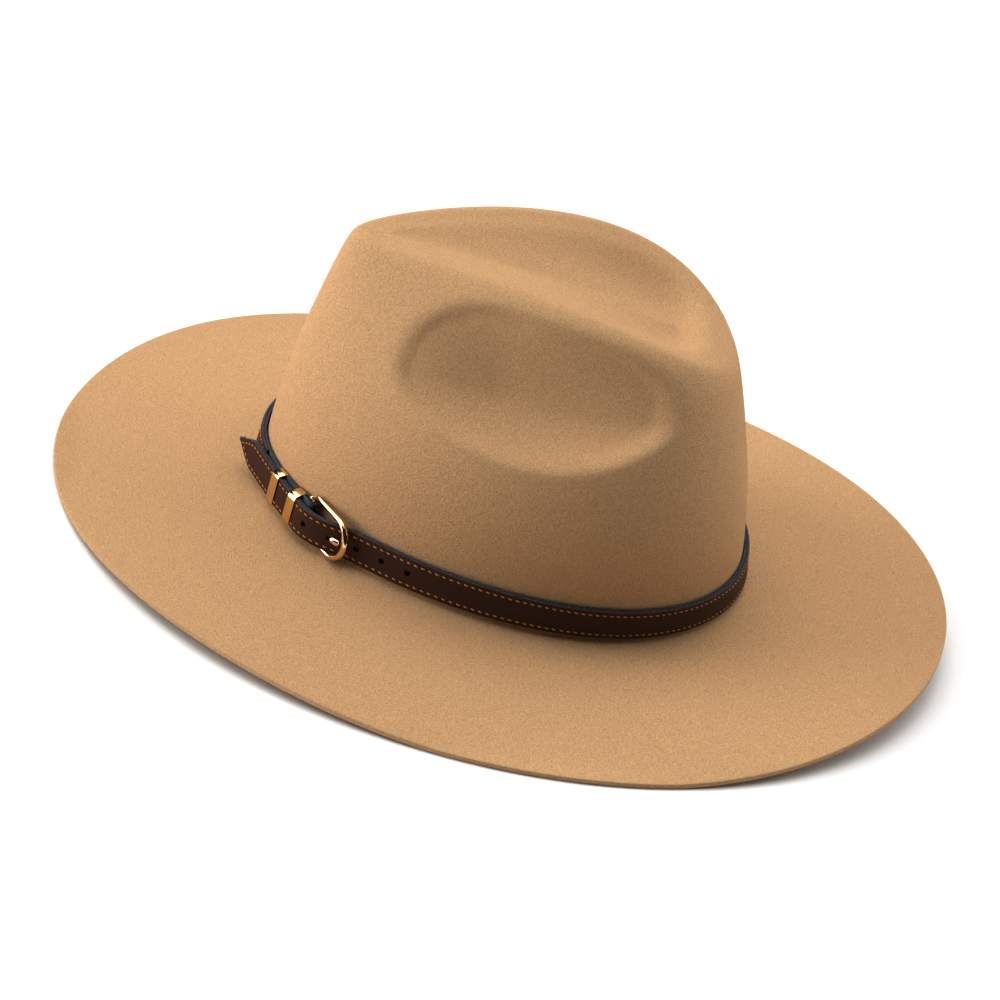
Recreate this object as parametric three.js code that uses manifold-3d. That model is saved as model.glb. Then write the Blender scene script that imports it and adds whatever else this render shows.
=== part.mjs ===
// A wide-brimmed felt fedora with a teardrop crown and a narrow buckled leather strap.
// Millimetres. +Z is up, -Y is the front of the hat and +X is the wearer's left.
// The hat rests on its brim at Z = 0, with the middle of the brim on the Z axis.
// Angles round the hat start at the front and grow toward the wearer's left.
import * as THREE from 'three';
import { mergeVertices } from 'three/addons/utils/BufferGeometryUtils.js';
import Module from 'manifold-3d';

// Felt body
const FELT_THICKNESS = 2.2;
const HEAD_HALF_LENGTH = 101;
const HEAD_HALF_WIDTH = 84.7;
const HEAD_EGG = 0.016;
const BRIM_HALF_LENGTH = 185.5;
const BRIM_HALF_WIDTH = 165.3;
const BRIM_SHIFT_BACK = 2.8;
const CREST_FRONT = 91.5;
const CREST_BACK = 66.8;
const CREST_HALF_WIDTH = 44.8;
const CREST_EGG = 0.39;
const CREST_SHIFT_BACK = 3.9;
const CREST_SETTLE = 1.5;
const END_BULGE = 3.8;
const SIDE_BULGE = 17.3;
const SIDE_BULGE_HIGHER = 0.6;
const BREAK_RISE = 1.6;
const CREASE_CENTRE_BACK = 23;
const CREASE_FLOOR_HALF_WIDTH = 5;
const CREASE_FLOOR_HALF_LENGTH = 20;
const CREASE_FRONT_DEPTH = 3.6;
const CREASE_BACK_DEPTH = 14;
const CREASE_DROP_AT = 19.4;
const CREASE_DROP_HALF_LENGTH = 38;
const CREASE_ROLL_REACH = 19;

// Heights round the hat: each row adds height * cos(turns * angle)
const BREAK_HEIGHT = [
  { turns: 0, height: 10.6 },
  { turns: 1, height: 1.86 },
  { turns: 2, height: -0.29 },
  { turns: 3, height: -0.86 },
];
const BRIM_EDGE_HEIGHT = [
  { turns: 0, height: 5.54 },
  { turns: 1, height: -3.95 },
  { turns: 2, height: 3.16 },
  { turns: 3, height: -2.48 },
  { turns: 4, height: -1.15 },
];
const CREST_HEIGHT = [
  { turns: 0, height: 123.2 },
  { turns: 1, height: 7.6 },
  { turns: 2, height: -6.8 },
];

// Rows of the felt from the brim edge over the crest to the floor of the crease.
// A brim row's reach is the share of the way out from the break, a wall row's reach is the
// share of the way up to the crest, and a floor row's reach is the share of the way from
// the foot of the roll to the floor. A crease row's reach is in millimetres inside the
// crest, up to its limit as a share of the way in, with its share of the crease depth.
// Outside and inside are the numbers of steps of the two skins up to the next row.
const FELT_ROWS = [
  { zone: 'brim', reach: 1, outside: 1, inside: 3 },
  { zone: 'brim', reach: 0.8, outside: 1, inside: 1 },
  { zone: 'brim', reach: 0.6, outside: 1, inside: 1 },
  { zone: 'brim', reach: 0.4, outside: 1, inside: 1 },
  { zone: 'brim', reach: 0.2, outside: 2, inside: 1 },
  { zone: 'brim', reach: 0.045, outside: 3, inside: 2 },
  { zone: 'break', reach: 0, outside: 2, inside: 1 },
  { zone: 'wall', reach: 0.06, outside: 1, inside: 1 },
  { zone: 'wall', reach: 0.25, outside: 2, inside: 1 },
  { zone: 'wall', reach: 0.42, outside: 2, inside: 1 },
  { zone: 'wall', reach: 0.6, outside: 2, inside: 1 },
  { zone: 'wall', reach: 0.835, outside: 2, inside: 1 },
  { zone: 'wall', reach: 0.925, outside: 2, inside: 2 },
  { zone: 'crest', reach: 0, outside: 3, inside: 2 },
  { zone: 'crease', reach: 6.6, limit: 0.35, depth: 0.09, settle: 1, outside: 3, inside: 2 },
  { zone: 'crease', reach: 12.4, limit: 0.6, depth: 0.265, outside: 2, inside: 2 },
  { zone: 'crease', reach: CREASE_ROLL_REACH, limit: 0.8, depth: 0.59, outside: 2, inside: 1 },
  { zone: 'floor', reach: 0.5, outside: 1, inside: 1 },
  { zone: 'floor', reach: 1, outside: 0, inside: 0 },
];
const LAST_ROW = FELT_ROWS.length - 1;
const BREAK_ROW = FELT_ROWS.findIndex((row) => row.zone === 'break');
const CREST_ROW = FELT_ROWS.findIndex((row) => row.zone === 'crest');
const CREASE_LIMIT = FELT_ROWS.find((row) => row.reach === CREASE_ROLL_REACH).limit;
const FELT_COLUMNS = 70;

// The pinch in each side of the crown is an egg-shaped hollow. Its lengths are millimetres
// along Y, its heights are shares of the crown's height over its foot, and its fades are
// numbers of felt rows.
const CROWN_FOOT = 12.6;
const PINCH = {
  depth: 17.6,
  deeperBehind: 0.35,
  centreY: -21.6,
  frontLength: 43.6,
  backLength: 70.7,
  centreHeight: 0.675,
  curveUpBehind: 0.154,
  heightAbove: 0.277,
  heightBelow: 0.135,
  squareness: 2.18,
  edgeSharpness: 1.71,
  edgeSoftness: 1.13,
  fadeAboveBreak: 2,
  fadeUnderCrest: 1.5,
  fadeWithinX: 25,
};

// Strap, in two plies
const GAP = 0.25;
const PLY = 1.05;
const STRAP_WIDTH = 12.2;
const STRAP_ABOVE_BREAK = 3;
const SEAT_CLEARANCE = 0.25;
const STRAP_FULL = 2 * PLY + GAP;
const STRAP_STEP = 9;
const POINT_LENGTH = 13;
const POINT_CURVE = 1.3;
const POINT_BLUNTNESS = 0.05;
const HOLE_RADIUS = 1.25;
const HOLE_PITCH = 11;
const HOLE_COUNT = 5;
const FIRST_HOLE_ARC = 59.2;

// Buckle and keepers. An arc is a distance round the foot of the crown from the front
// toward the wearer's left, and a stand is a distance out from the felt.
const BAR_ARC = 57;
const BAR_STAND = 2.85;
const BAR_RAISED = 1.2;
const BAR_RADIUS = 0.9;
const FRAME_LENGTH = 21.2;
const FRAME_HALF_HEIGHT = 8;
const FRAME_END_ROUNDING = 1.02;
const FRAME_END_STAND = 6.6;
const ARM_RADIUS = 0.75;
const BOW_RADIUS = 1.2;
const ARM_DROP = 1.5;
const BALL_RADIUS = 1;
const BALL_OUT = 1.2;
const BEND_STEPS = 18;
const WIRE_SIDES = 10;
const PRONG_RADIUS = 0.65;
const KEEPER_WIDTH = 5.2;
const KEEPER_GAUGE = 0.7;
const KEEPER_CORNER = 1;
const KEEPER_INNER_CORNER = 0.3;
const KEEPERS = [
  { name: 'keeper_front', arc: 35 },
  { name: 'keeper_rear', arc: 49 },
];

// The free end over the buckle, from where it leaves the crown to where it runs straight
// on: the stand of its inner face, and its lean as a share of the felt's own
const FREE_END = [
  { arc: 96, stand: GAP, lean: 1 },
  { arc: 90, stand: GAP, lean: 1 },
  { arc: 84, stand: 0.3, lean: 0.9 },
  { arc: 79, stand: 0.55, lean: 0.75 },
  { arc: 76.5, stand: 0.9, lean: 0.65 },
  { arc: 74, stand: 1.6, lean: 0.55 },
  { arc: 71, stand: 2.8, lean: 0.45 },
  { arc: 66.5, stand: 4.3, lean: 0.35 },
  { arc: 62, stand: 5.3, lean: 0.3 },
  { arc: 57, stand: 5.5, lean: 0.3 },
  { arc: 52, stand: 4.7, lean: 0.3 },
  { arc: 47, stand: 4.05, lean: 0.3 },
  { arc: 44, stand: 3.6, lean: 0.3 },
  { arc: 40, stand: 2.85, lean: 0.3 },
  { arc: 35, stand: 2.65, lean: 0.3 },
  { arc: 30, stand: 2.65, lean: 0.3 },
];
const FREE_END_BEYOND = 31.5;

// The backing ply alone goes on under the free end to the bar, turns round it and comes
// back along the felt; it climbs a little to the bar, which sits higher than the strap
const UNDER_END = [
  { arc: 20, stand: GAP, raised: 0 },
  { arc: 26, stand: 0.5, raised: 0 },
  { arc: 31, stand: 1.35, raised: 0 },
  { arc: 39, stand: 1.35, raised: 0 },
  { arc: 44, stand: 2.25, raised: 0 },
  { arc: 46.5, stand: 2.6, raised: 0 },
  { arc: 52, stand: 3, raised: 0 },
  { arc: 54.5, stand: 3.5, raised: 0.7 },
];
const TURNED_BACK = [
  { arc: 46, stand: 1.3, raised: 0 },
  { arc: 51.8, stand: 1.3, raised: 0 },
  { arc: 54.5, stand: 0.8, raised: 0.7 },
];
const BAR_TURN_STEPS = 6;
const FACE_STARTS_AT_ARC = 19;

// The prong from the bar through the second hole to the round end of the frame
const PRONG = [
  { arc: 62, stand: 3 },
  { arc: 66.5, stand: 2.3 },
  { arc: 68.8, stand: 2 },
  { arc: 70, stand: 3 },
  { arc: 70.1, stand: 4.4 },
  { arc: 70.2, stand: 5.6 },
  { arc: 71.2, stand: 6.2 },
  { arc: 73, stand: 6 },
  { arc: 75, stand: 5.6 },
];
const PRONG_LEAN = 0.8;
const PRONG_LOOP_DEGREES = [60, 105, 150, 195, 240, 290];
const PRONG_SLOT = { width: 2, through: 8, length: 6.4, pastBar: 0.4 };

const COLOURS = {
  felt: 0xb98c5c,
  leather: 0x3b241b,
  backing: 0x4a5260,
  brass: 0xd9b35f,
};

function wave(rows, angle) {
  return rows.reduce((sum, row) => sum + row.height * Math.cos(row.turns * angle), 0);
}

function mix(from, to, share) {
  return from + (to - from) * share;
}

function clamp(value, low, high) {
  return Math.min(Math.max(value, low), high);
}

function smoothStep(value) {
  const share = clamp(value, -1, 1);
  return 0.5 + 0.75 * share - 0.25 * share ** 3;
}

function headOval(angle) {
  const width = HEAD_HALF_WIDTH * (1 - HEAD_EGG * Math.cos(angle));
  return new THREE.Vector2(width * Math.sin(angle), -HEAD_HALF_LENGTH * Math.cos(angle));
}

function brimOval(angle) {
  const y = -BRIM_HALF_LENGTH * Math.cos(angle) + BRIM_SHIFT_BACK;
  return new THREE.Vector2(BRIM_HALF_WIDTH * Math.sin(angle), y);
}

function crestLoop(angle) {
  const cosine = Math.cos(angle);
  const width = CREST_HALF_WIDTH * (1 - CREST_EGG * cosine);
  const length = (CREST_FRONT + CREST_BACK) / 2 + ((CREST_FRONT - CREST_BACK) / 2) * cosine;
  return new THREE.Vector2(width * Math.sin(angle), -length * cosine + CREST_SHIFT_BACK);
}

// The floor of the crease, a narrow oval that the rolled sides run down to
function creaseFloor(angle) {
  const y = CREASE_CENTRE_BACK - CREASE_FLOOR_HALF_LENGTH * Math.cos(angle);
  return new THREE.Vector2(CREASE_FLOOR_HALF_WIDTH * Math.sin(angle), y);
}

// Distance from the edge of the crease's floor to the crest's tangent at this angle
function crestReach(angle) {
  const step = 0.01;
  const along = crestLoop(angle + step).sub(crestLoop(angle - step)).normalize();
  const arm = crestLoop(angle).sub(creaseFloor(angle));
  return Math.abs(arm.x * along.y - arm.y * along.x);
}

function topPoint(angle, share, depthShare, lift) {
  const place = crestLoop(angle).lerp(creaseFloor(angle), share);
  const rim = CREST_HEIGHT.reduce(
    (sum, row) => sum + row.height * (1 - share) ** row.turns * Math.cos(row.turns * angle), 0);
  const drop = smoothStep((place.y - CREASE_DROP_AT) / CREASE_DROP_HALF_LENGTH);
  const depth = mix(CREASE_FRONT_DEPTH, CREASE_BACK_DEPTH, drop);
  return new THREE.Vector3(place.x, place.y, rim - depth * depthShare + lift);
}

function wallPoint(angle, share, lift) {
  const outward = new THREE.Vector2(
    Math.sin(angle) / HEAD_HALF_WIDTH, -Math.cos(angle) / HEAD_HALF_LENGTH).normalize();
  const place = headOval(angle).lerp(crestLoop(angle), share);
  const sideways = Math.sin(angle) ** 2;
  const higher = 1 - SIDE_BULGE_HIGHER * sideways * (1 - 2 * share);
  const bulge = mix(END_BULGE, SIDE_BULGE, sideways) * higher;
  place.addScaledVector(outward, bulge * 4 * share * (1 - share));
  const height = mix(wave(BREAK_HEIGHT, angle), wave(CREST_HEIGHT, angle), share);
  return new THREE.Vector3(place.x, place.y, height + lift);
}

function controlPoint(row, angle) {
  if (row.zone === 'brim') {
    const place = headOval(angle).lerp(brimOval(angle), row.reach);
    const height = mix(wave(BREAK_HEIGHT, angle), wave(BRIM_EDGE_HEIGHT, angle), row.reach);
    return new THREE.Vector3(place.x, place.y, height);
  }
  if (row.zone === 'break') return wallPoint(angle, 0, BREAK_RISE);
  if (row.zone === 'wall') return wallPoint(angle, row.reach, 0);
  if (row.zone === 'crest') return topPoint(angle, 0, 0, -CREST_SETTLE);
  if (row.zone === 'floor') {
    const rollFoot = Math.min(CREASE_ROLL_REACH / crestReach(angle), CREASE_LIMIT);
    return topPoint(angle, mix(rollFoot, 1, row.reach), 1, 0);
  }
  const share = Math.min(row.reach / crestReach(angle), row.limit);
  return topPoint(angle, share, row.depth, -CREST_SETTLE * (row.settle ?? 0));
}

// A uniform cubic spline over the rows' control points: place runs from 0 at the brim
// edge to the last row at the floor of the crease
function splinePoint(angle, place) {
  const start = clamp(Math.floor(place), 0, LAST_ROW - 1);
  const u = place - start;
  const weights = [
    (1 - u) ** 3 / 6,
    (3 * u ** 3 - 6 * u ** 2 + 4) / 6,
    (-3 * u ** 3 + 3 * u ** 2 + 3 * u + 1) / 6,
    u ** 3 / 6,
  ];
  const point = new THREE.Vector3();
  weights.forEach((weight, offset) => {
    point.addScaledVector(controlAt(start - 1 + offset, angle), weight);
  });
  return point;
}

// Beyond either end the rows go on in a straight line
function controlAt(index, angle) {
  const inside = clamp(index, 0, LAST_ROW);
  const point = controlPoint(FELT_ROWS[inside], angle);
  if (index === inside) return point;
  const neighbour = controlPoint(FELT_ROWS[2 * inside - index], angle);
  return point.multiplyScalar(2).sub(neighbour);
}

// How far the pinch moves a point of the wall toward the middle of the hat
function pinchDepth(point, angle, place) {
  const behind = point.y - PINCH.centreY;
  const along = behind / (behind < 0 ? PINCH.frontLength : PINCH.backLength);
  const level = PINCH.centreHeight + PINCH.curveUpBehind * Math.max(along, 0) ** 2;
  const crownHeight = wave(CREST_HEIGHT, angle) - CROWN_FOOT;
  const above = (point.z - CROWN_FOOT) / crownHeight - level;
  const across = above / (above > 0 ? PINCH.heightAbove : PINCH.heightBelow);
  const away = (Math.abs(along) ** PINCH.squareness + Math.abs(across) ** PINCH.squareness)
    ** (1 / PINCH.squareness);
  const shape = Math.max(1 - away ** PINCH.edgeSharpness, 0) ** PINCH.edgeSoftness;
  const deeper = 1 + PINCH.deeperBehind * clamp(along, -1, 1);
  const overBreak = clamp((place - BREAK_ROW) / PINCH.fadeAboveBreak, 0, 1);
  const underCrest = clamp((CREST_ROW + 1 - place) / PINCH.fadeUnderCrest, 0, 1);
  const offMiddle = clamp(Math.abs(point.x) / PINCH.fadeWithinX, 0, 1);
  return PINCH.depth * shape * deeper * overBreak * underCrest * offMiddle;
}

function feltPoint(angle, place) {
  const point = splinePoint(angle, place);
  point.x -= Math.sign(point.x) * pinchDepth(point, angle, place);
  return point;
}

function feltNormal(angle, place) {
  const step = 0.02;
  const low = clamp(place - step, 0, LAST_ROW - step);
  const high = clamp(place + step, step, LAST_ROW - step / 2);
  const round = feltPoint(angle + step, place).sub(feltPoint(angle - step, place));
  const up = feltPoint(angle, high).sub(feltPoint(angle, low));
  return round.cross(up).normalize();
}

// The outer skin, pressed flat where the brim rests
function outerFelt(angle, place) {
  const point = feltPoint(angle, place);
  point.z = Math.max(point.z, FELT_THICKNESS);
  return point;
}

function innerFelt(angle, place) {
  const point = feltPoint(angle, place);
  point.addScaledVector(feltNormal(angle, place), -FELT_THICKNESS);
  point.z = Math.max(point.z, 0);
  return point;
}

function places(side) {
  const list = [];
  FELT_ROWS.forEach((row, index) => {
    for (let step = 0; step < row[side]; step += 1) list.push(index + step / row[side]);
  });
  return list;
}

function columnAngles() {
  return Array.from({ length: FELT_COLUMNS }, (unused, index) => (
    (index / FELT_COLUMNS) * 2 * Math.PI));
}

// A closed skin over rings of equal length, ending in one point at each end
function closedRings(startPoint, rings, endPoint) {
  const columns = rings[0].length;
  const points = [startPoint, ...rings.flat(), endPoint];
  const faces = [];
  const at = (ring, column) => 1 + ring * columns + (column % columns);
  for (let column = 0; column < columns; column += 1) {
    faces.push([0, at(0, column), at(0, column + 1)]);
    for (let ring = 0; ring + 1 < rings.length; ring += 1) {
      const corners = [at(ring, column), at(ring, column + 1),
        at(ring + 1, column + 1), at(ring + 1, column)];
      faces.push([corners[0], corners[2], corners[1]]);
      faces.push([corners[0], corners[3], corners[2]]);
    }
    const lastRing = rings.length - 1;
    faces.push([points.length - 1, at(lastRing, column + 1), at(lastRing, column)]);
  }
  return solidGeometry(points, faces);
}

function solidGeometry(points, faces) {
  const geometry = new THREE.BufferGeometry();
  const values = points.flatMap((point) => [point.x, point.y, point.z]);
  geometry.setAttribute('position', new THREE.Float32BufferAttribute(values, 3));
  geometry.setIndex(faces.flat());
  return geometry;
}

function feltBody() {
  const angles = columnAngles();
  const rings = [];
  places('outside').reverse().forEach((place) => {
    rings.push(angles.map((angle) => outerFelt(angle, place)));
  });
  places('inside').forEach((place) => {
    rings.push(angles.map((angle) => innerFelt(angle, place)));
  });
  const top = outerFelt(0, LAST_ROW).lerp(outerFelt(Math.PI, LAST_ROW), 0.5);
  const under = top.clone();
  under.z -= FELT_THICKNESS;
  return closedRings(top, rings, under);
}

// The felt's outline at a height above the break, found along the wall
function feltOutline(angle, aboveBreak) {
  const height = wave(BREAK_HEIGHT, angle) + aboveBreak;
  let low = BREAK_ROW - 1;
  let high = CREST_ROW - 2;
  for (let halving = 0; halving < 30; halving += 1) {
    const middle = (low + high) / 2;
    if (feltPoint(angle, middle).z < height) low = middle;
    else high = middle;
  }
  return feltPoint(angle, (low + high) / 2);
}

// Arc lengths round the foot of the crown, from the front toward the wearer's left
const ARC_STEPS = 720;
const ARC_TABLE = Array.from({ length: ARC_STEPS + 1 }, () => 0);
for (let step = 1; step <= ARC_STEPS; step += 1) {
  const before = headOval(((step - 1) / ARC_STEPS) * 2 * Math.PI);
  const after = headOval((step / ARC_STEPS) * 2 * Math.PI);
  ARC_TABLE[step] = ARC_TABLE[step - 1] + after.distanceTo(before);
}
const ROUND = ARC_TABLE[ARC_STEPS];

function arcToAngle(arc) {
  const wrapped = ((arc % ROUND) + ROUND) % ROUND;
  let step = 1;
  while (ARC_TABLE[step] < wrapped) step += 1;
  const share = (wrapped - ARC_TABLE[step - 1]) / (ARC_TABLE[step] - ARC_TABLE[step - 1]);
  return ((step - 1 + share) / ARC_STEPS) * 2 * Math.PI;
}

// The strap's lower and upper edge lines on the felt, and the direction out from them
function seat(arc) {
  const angle = arcToAngle(arc);
  const step = 0.01;
  const lowZ = STRAP_ABOVE_BREAK;
  const low = feltOutline(angle, lowZ);
  const high = feltOutline(angle, lowZ + STRAP_WIDTH);
  const along = feltOutline(angle + step, lowZ).sub(feltOutline(angle - step, lowZ));
  along.z = 0;
  along.normalize();
  const outward = new THREE.Vector3(along.y, -along.x, 0);
  const lean = high.clone().sub(low).dot(outward);
  low.addScaledVector(outward, SEAT_CLEARANCE);
  low.z = wave(BREAK_HEIGHT, angle) + lowZ;
  const upright = new THREE.Vector3(0, 0, STRAP_WIDTH);
  return { low, outward, along, upright, lean };
}

// A point of the strap: rise is 0 at its lower edge and 1 at its upper edge
function strapPoint(base, stand, leanShare, rise) {
  return base.low.clone()
    .addScaledVector(base.upright, rise)
    .addScaledVector(base.outward, stand + base.lean * leanShare * rise);
}

function section(base, innerStand, outerStand, leanShare, halfWidth, raised = 0) {
  const middle = 0.5 + raised / STRAP_WIDTH;
  const bottom = middle - halfWidth;
  const top = middle + halfWidth;
  return [
    strapPoint(base, innerStand, leanShare, bottom),
    strapPoint(base, outerStand, leanShare, bottom),
    strapPoint(base, outerStand, leanShare, top),
    strapPoint(base, innerStand, leanShare, top),
  ];
}

function tableCurve(rows, name) {
  return (arc) => {
    const sorted = [...rows].sort((one, other) => one.arc - other.arc);
    if (arc <= sorted[0].arc) return sorted[0][name];
    if (arc >= sorted[sorted.length - 1].arc) return sorted[sorted.length - 1][name];
    const index = sorted.findIndex((row) => row.arc >= arc);
    const before = sorted[index - 1];
    const after = sorted[index];
    return mix(before[name], after[name], (arc - before.arc) / (after.arc - before.arc));
  };
}

const freeStand = tableCurve(FREE_END, 'stand');
const freeLean = tableCurve(FREE_END, 'lean');

// The free end beyond its last seat: straight on, then narrowing to a point
function beyondSections(inner, outer) {
  const last = FREE_END[FREE_END.length - 1];
  const base = seat(last.arc);
  const shoulder = FREE_END_BEYOND - POINT_LENGTH;
  const pointShares = [0, 0.35, 0.7, 1];
  const pointDistances = pointShares.map((share) => shoulder + share * POINT_LENGTH);
  const distances = [shoulder / 2, ...pointDistances];
  return distances.map((distance) => {
    const moved = { ...base, low: base.low.clone().addScaledVector(base.along, -distance) };
    const share = Math.max((distance - shoulder) / POINT_LENGTH, 0);
    const half = Math.max(0.5 * (1 - share ** POINT_CURVE), POINT_BLUNTNESS);
    return section(moved, last.stand + inner, last.stand + outer, last.lean, half);
  });
}

// Sections of a ply from under the free end, the long way round to the point
function roundSections(inner, outer) {
  const list = [];
  const firstArc = FACE_STARTS_AT_ARC;
  const lastArc = FREE_END[0].arc - ROUND;
  const count = Math.round((firstArc - lastArc) / STRAP_STEP);
  for (let step = 0; step < count; step += 1) {
    const arc = mix(firstArc, lastArc, step / count);
    list.push(section(seat(arc), GAP + inner, GAP + outer, 1, 0.5));
  }
  FREE_END.forEach((row) => {
    list.push(section(seat(row.arc), row.stand + inner, row.stand + outer, row.lean, 0.5));
  });
  return [...list, ...beyondSections(inner, outer)];
}

// A closed solid over a list of four-cornered sections. The inner side is split along the
// same diagonals as the outer one, so that plies lie evenly on each other where they twist.
const INNER_SIDE = 3;
function sweptStrip(sections) {
  const points = sections.flat();
  const faces = [];
  for (let index = 0; index + 1 < sections.length; index += 1) {
    for (let side = 0; side < 4; side += 1) {
      const one = index * 4 + side;
      const two = index * 4 + ((side + 1) % 4);
      const corners = [one, two, two + 4, one + 4];
      if (side === INNER_SIDE) corners.push(corners.shift());
      faces.push([corners[0], corners[1], corners[2]]);
      faces.push([corners[0], corners[2], corners[3]]);
    }
  }
  const end = (sections.length - 1) * 4;
  faces.push([0, 3, 2], [0, 2, 1]);
  faces.push([end, end + 1, end + 2], [end, end + 2, end + 3]);
  return solidGeometry(points, faces);
}

const wasm = await Module();
wasm.setup();

function toManifold(geometry) {
  const merged = mergePositions(geometry);
  return new wasm.Manifold(new wasm.Mesh({
    numProp: 3,
    vertProperties: new Float32Array(merged.attributes.position.array),
    triVerts: new Uint32Array(merged.index.array),
  }));
}

function mergePositions(geometry) {
  const bare = geometry.clone();
  ['normal', 'uv'].forEach((name) => bare.deleteAttribute(name));
  return mergeVertices(bare, 1e-4);
}

function fromManifold(solid) {
  const mesh = solid.getMesh();
  const geometry = new THREE.BufferGeometry();
  geometry.setAttribute('position', new THREE.Float32BufferAttribute(mesh.vertProperties, 3));
  geometry.setIndex(Array.from(mesh.triVerts));
  return geometry;
}

// Axes at a place on the strap: along toward the wearer's left and back, up the strap's
// face, and out of it
function faceAxes(base, leanShare) {
  const up = base.upright.clone().addScaledVector(base.outward, base.lean * leanShare);
  up.normalize();
  const out = up.clone().cross(base.along).negate().normalize();
  return { along: base.along, up, out };
}

function punch(geometry) {
  let solid = toManifold(geometry);
  for (let index = 0; index < HOLE_COUNT; index += 1) {
    const arc = FIRST_HOLE_ARC + index * HOLE_PITCH;
    const base = seat(arc);
    const axes = faceAxes(base, freeLean(arc));
    const centre = strapPoint(base, freeStand(arc) + STRAP_FULL / 2, freeLean(arc), 0.5);
    const hole = new THREE.CylinderGeometry(HOLE_RADIUS, HOLE_RADIUS, 1.6 * STRAP_FULL, 8);
    hole.applyMatrix4(new THREE.Matrix4().makeBasis(axes.up, axes.out, axes.along)
      .setPosition(centre));
    solid = solid.subtract(toManifold(hole));
  }
  return solid;
}

function strapFace() {
  return fromManifold(punch(sweptStrip(roundSections(PLY + GAP, STRAP_FULL))));
}

// The turn of the backing ply round the bar, from the felt side outward
function barTurnSections() {
  const bar = seat(BAR_ARC);
  const inner = BAR_RADIUS + GAP;
  const outer = inner + PLY;
  const raised = BAR_RAISED / STRAP_WIDTH;
  const list = [];
  for (let step = 0; step <= BAR_TURN_STEPS; step += 1) {
    const angle = mix(-Math.PI / 2, Math.PI / 2, step / BAR_TURN_STEPS);
    const corners = [inner, outer].map((radius) => {
      const shift = Math.cos(angle) * radius;
      const moved = { ...bar, low: bar.low.clone().addScaledVector(bar.along, shift) };
      return [0, 1].map((rise) => (
        strapPoint(moved, BAR_STAND + Math.sin(angle) * radius, 1, rise + raised)));
    });
    list.push([corners[0][0], corners[1][0], corners[1][1], corners[0][1]]);
  }
  return list;
}

function strapBacking() {
  const turnedBack = TURNED_BACK.map((row) => (
    section(seat(row.arc), row.stand + PLY, row.stand, 1, 0.5, row.raised)));
  const under = [...UNDER_END].reverse().map((row) => (
    section(seat(row.arc), row.stand, row.stand + PLY, 1, 0.5, row.raised)));
  const sections = [...turnedBack, ...barTurnSections(), ...under, ...roundSections(0, PLY)];
  const slot = new THREE.BoxGeometry(PRONG_SLOT.width, PRONG_SLOT.through, PRONG_SLOT.length);
  const bar = seat(BAR_ARC);
  const axes = faceAxes(bar, 1);
  const centre = strapPoint(bar, BAR_STAND, 1, 0.5);
  centre.addScaledVector(axes.along, PRONG_SLOT.pastBar);
  slot.applyMatrix4(new THREE.Matrix4().makeBasis(axes.up, axes.out, axes.along)
    .setPosition(centre));
  return fromManifold(punch(sweptStrip(sections)).subtract(toManifold(slot)));
}

class PathCurve extends THREE.Curve {
  constructor(curve) {
    super();
    this.curve = curve;
  }

  getPoint(share) {
    return this.curve(share);
  }
}

function wire(curve, radius, steps, sides) {
  const outline = new THREE.Shape();
  outline.absarc(0, 0, radius, 0, 2 * Math.PI, false);
  return new THREE.ExtrudeGeometry(outline, {
    steps,
    curveSegments: sides,
    extrudePath: new PathCurve(curve),
  });
}

// The frame's own axes: along from the bar to the round end, up, and out
function frameAxes() {
  const bar = seat(BAR_ARC);
  const endArc = BAR_ARC + FRAME_LENGTH;
  const start = strapPoint(bar, BAR_STAND, 1, 0.5 + BAR_RAISED / STRAP_WIDTH);
  const finish = strapPoint(seat(endArc), FRAME_END_STAND, freeLean(endArc), 0.5);
  const along = finish.sub(start);
  const length = along.length();
  along.normalize();
  const up = bar.upright.clone().addScaledVector(bar.outward, bar.lean).normalize();
  const out = along.clone().cross(up).normalize();
  return { start, along, up, out, length };
}

// A point of the frame: reach is along it from the bar, and rise is 1 at the upper arm and
// -1 at the lower one
function framePoint(axes, reach, rise, out) {
  return axes.start.clone().addScaledVector(axes.along, reach)
    .addScaledVector(axes.up, rise * FRAME_HALF_HEIGHT)
    .addScaledVector(axes.out, out);
}

// The two arms and the round end: the arms slant from the felt side of the bar outward and
// thicken toward the round end
function bow(axes) {
  const bend = FRAME_HALF_HEIGHT * FRAME_END_ROUNDING;
  const straight = axes.length - bend;
  const run = [{ reach: -ARM_RADIUS, rise: 1 }];
  for (let step = 0; step <= BEND_STEPS; step += 1) {
    const angle = (step / BEND_STEPS) * Math.PI;
    run.push({ reach: straight + Math.sin(angle) * bend, rise: Math.cos(angle) });
  }
  run.push({ reach: -ARM_RADIUS, rise: -1 });
  const points = run.map(({ reach, rise }) => (
    framePoint(axes, reach, rise, -ARM_DROP * (1 - reach / axes.length))));
  const radii = run.map(({ reach }) => (
    mix(ARM_RADIUS, BOW_RADIUS, Math.max(reach, 0) / axes.length)));
  return roundWire(points, radii, axes.out);
}

// A round wire along a list of points, none of its runs parallel to the side axis
function roundWire(points, radii, side) {
  const rings = points.map((point, index) => {
    const before = points[Math.max(index - 1, 0)];
    const after = points[Math.min(index + 1, points.length - 1)];
    const ahead = after.clone().sub(before);
    const over = ahead.clone().cross(side).normalize();
    const across = ahead.clone().cross(over).normalize();
    return Array.from({ length: WIRE_SIDES }, (unused, step) => {
      const turn = (step / WIRE_SIDES) * 2 * Math.PI;
      return point.clone().addScaledVector(over, radii[index] * Math.cos(turn))
        .addScaledVector(across, -radii[index] * Math.sin(turn));
    });
  });
  return closedRings(points[0], rings, points[points.length - 1]);
}

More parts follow.
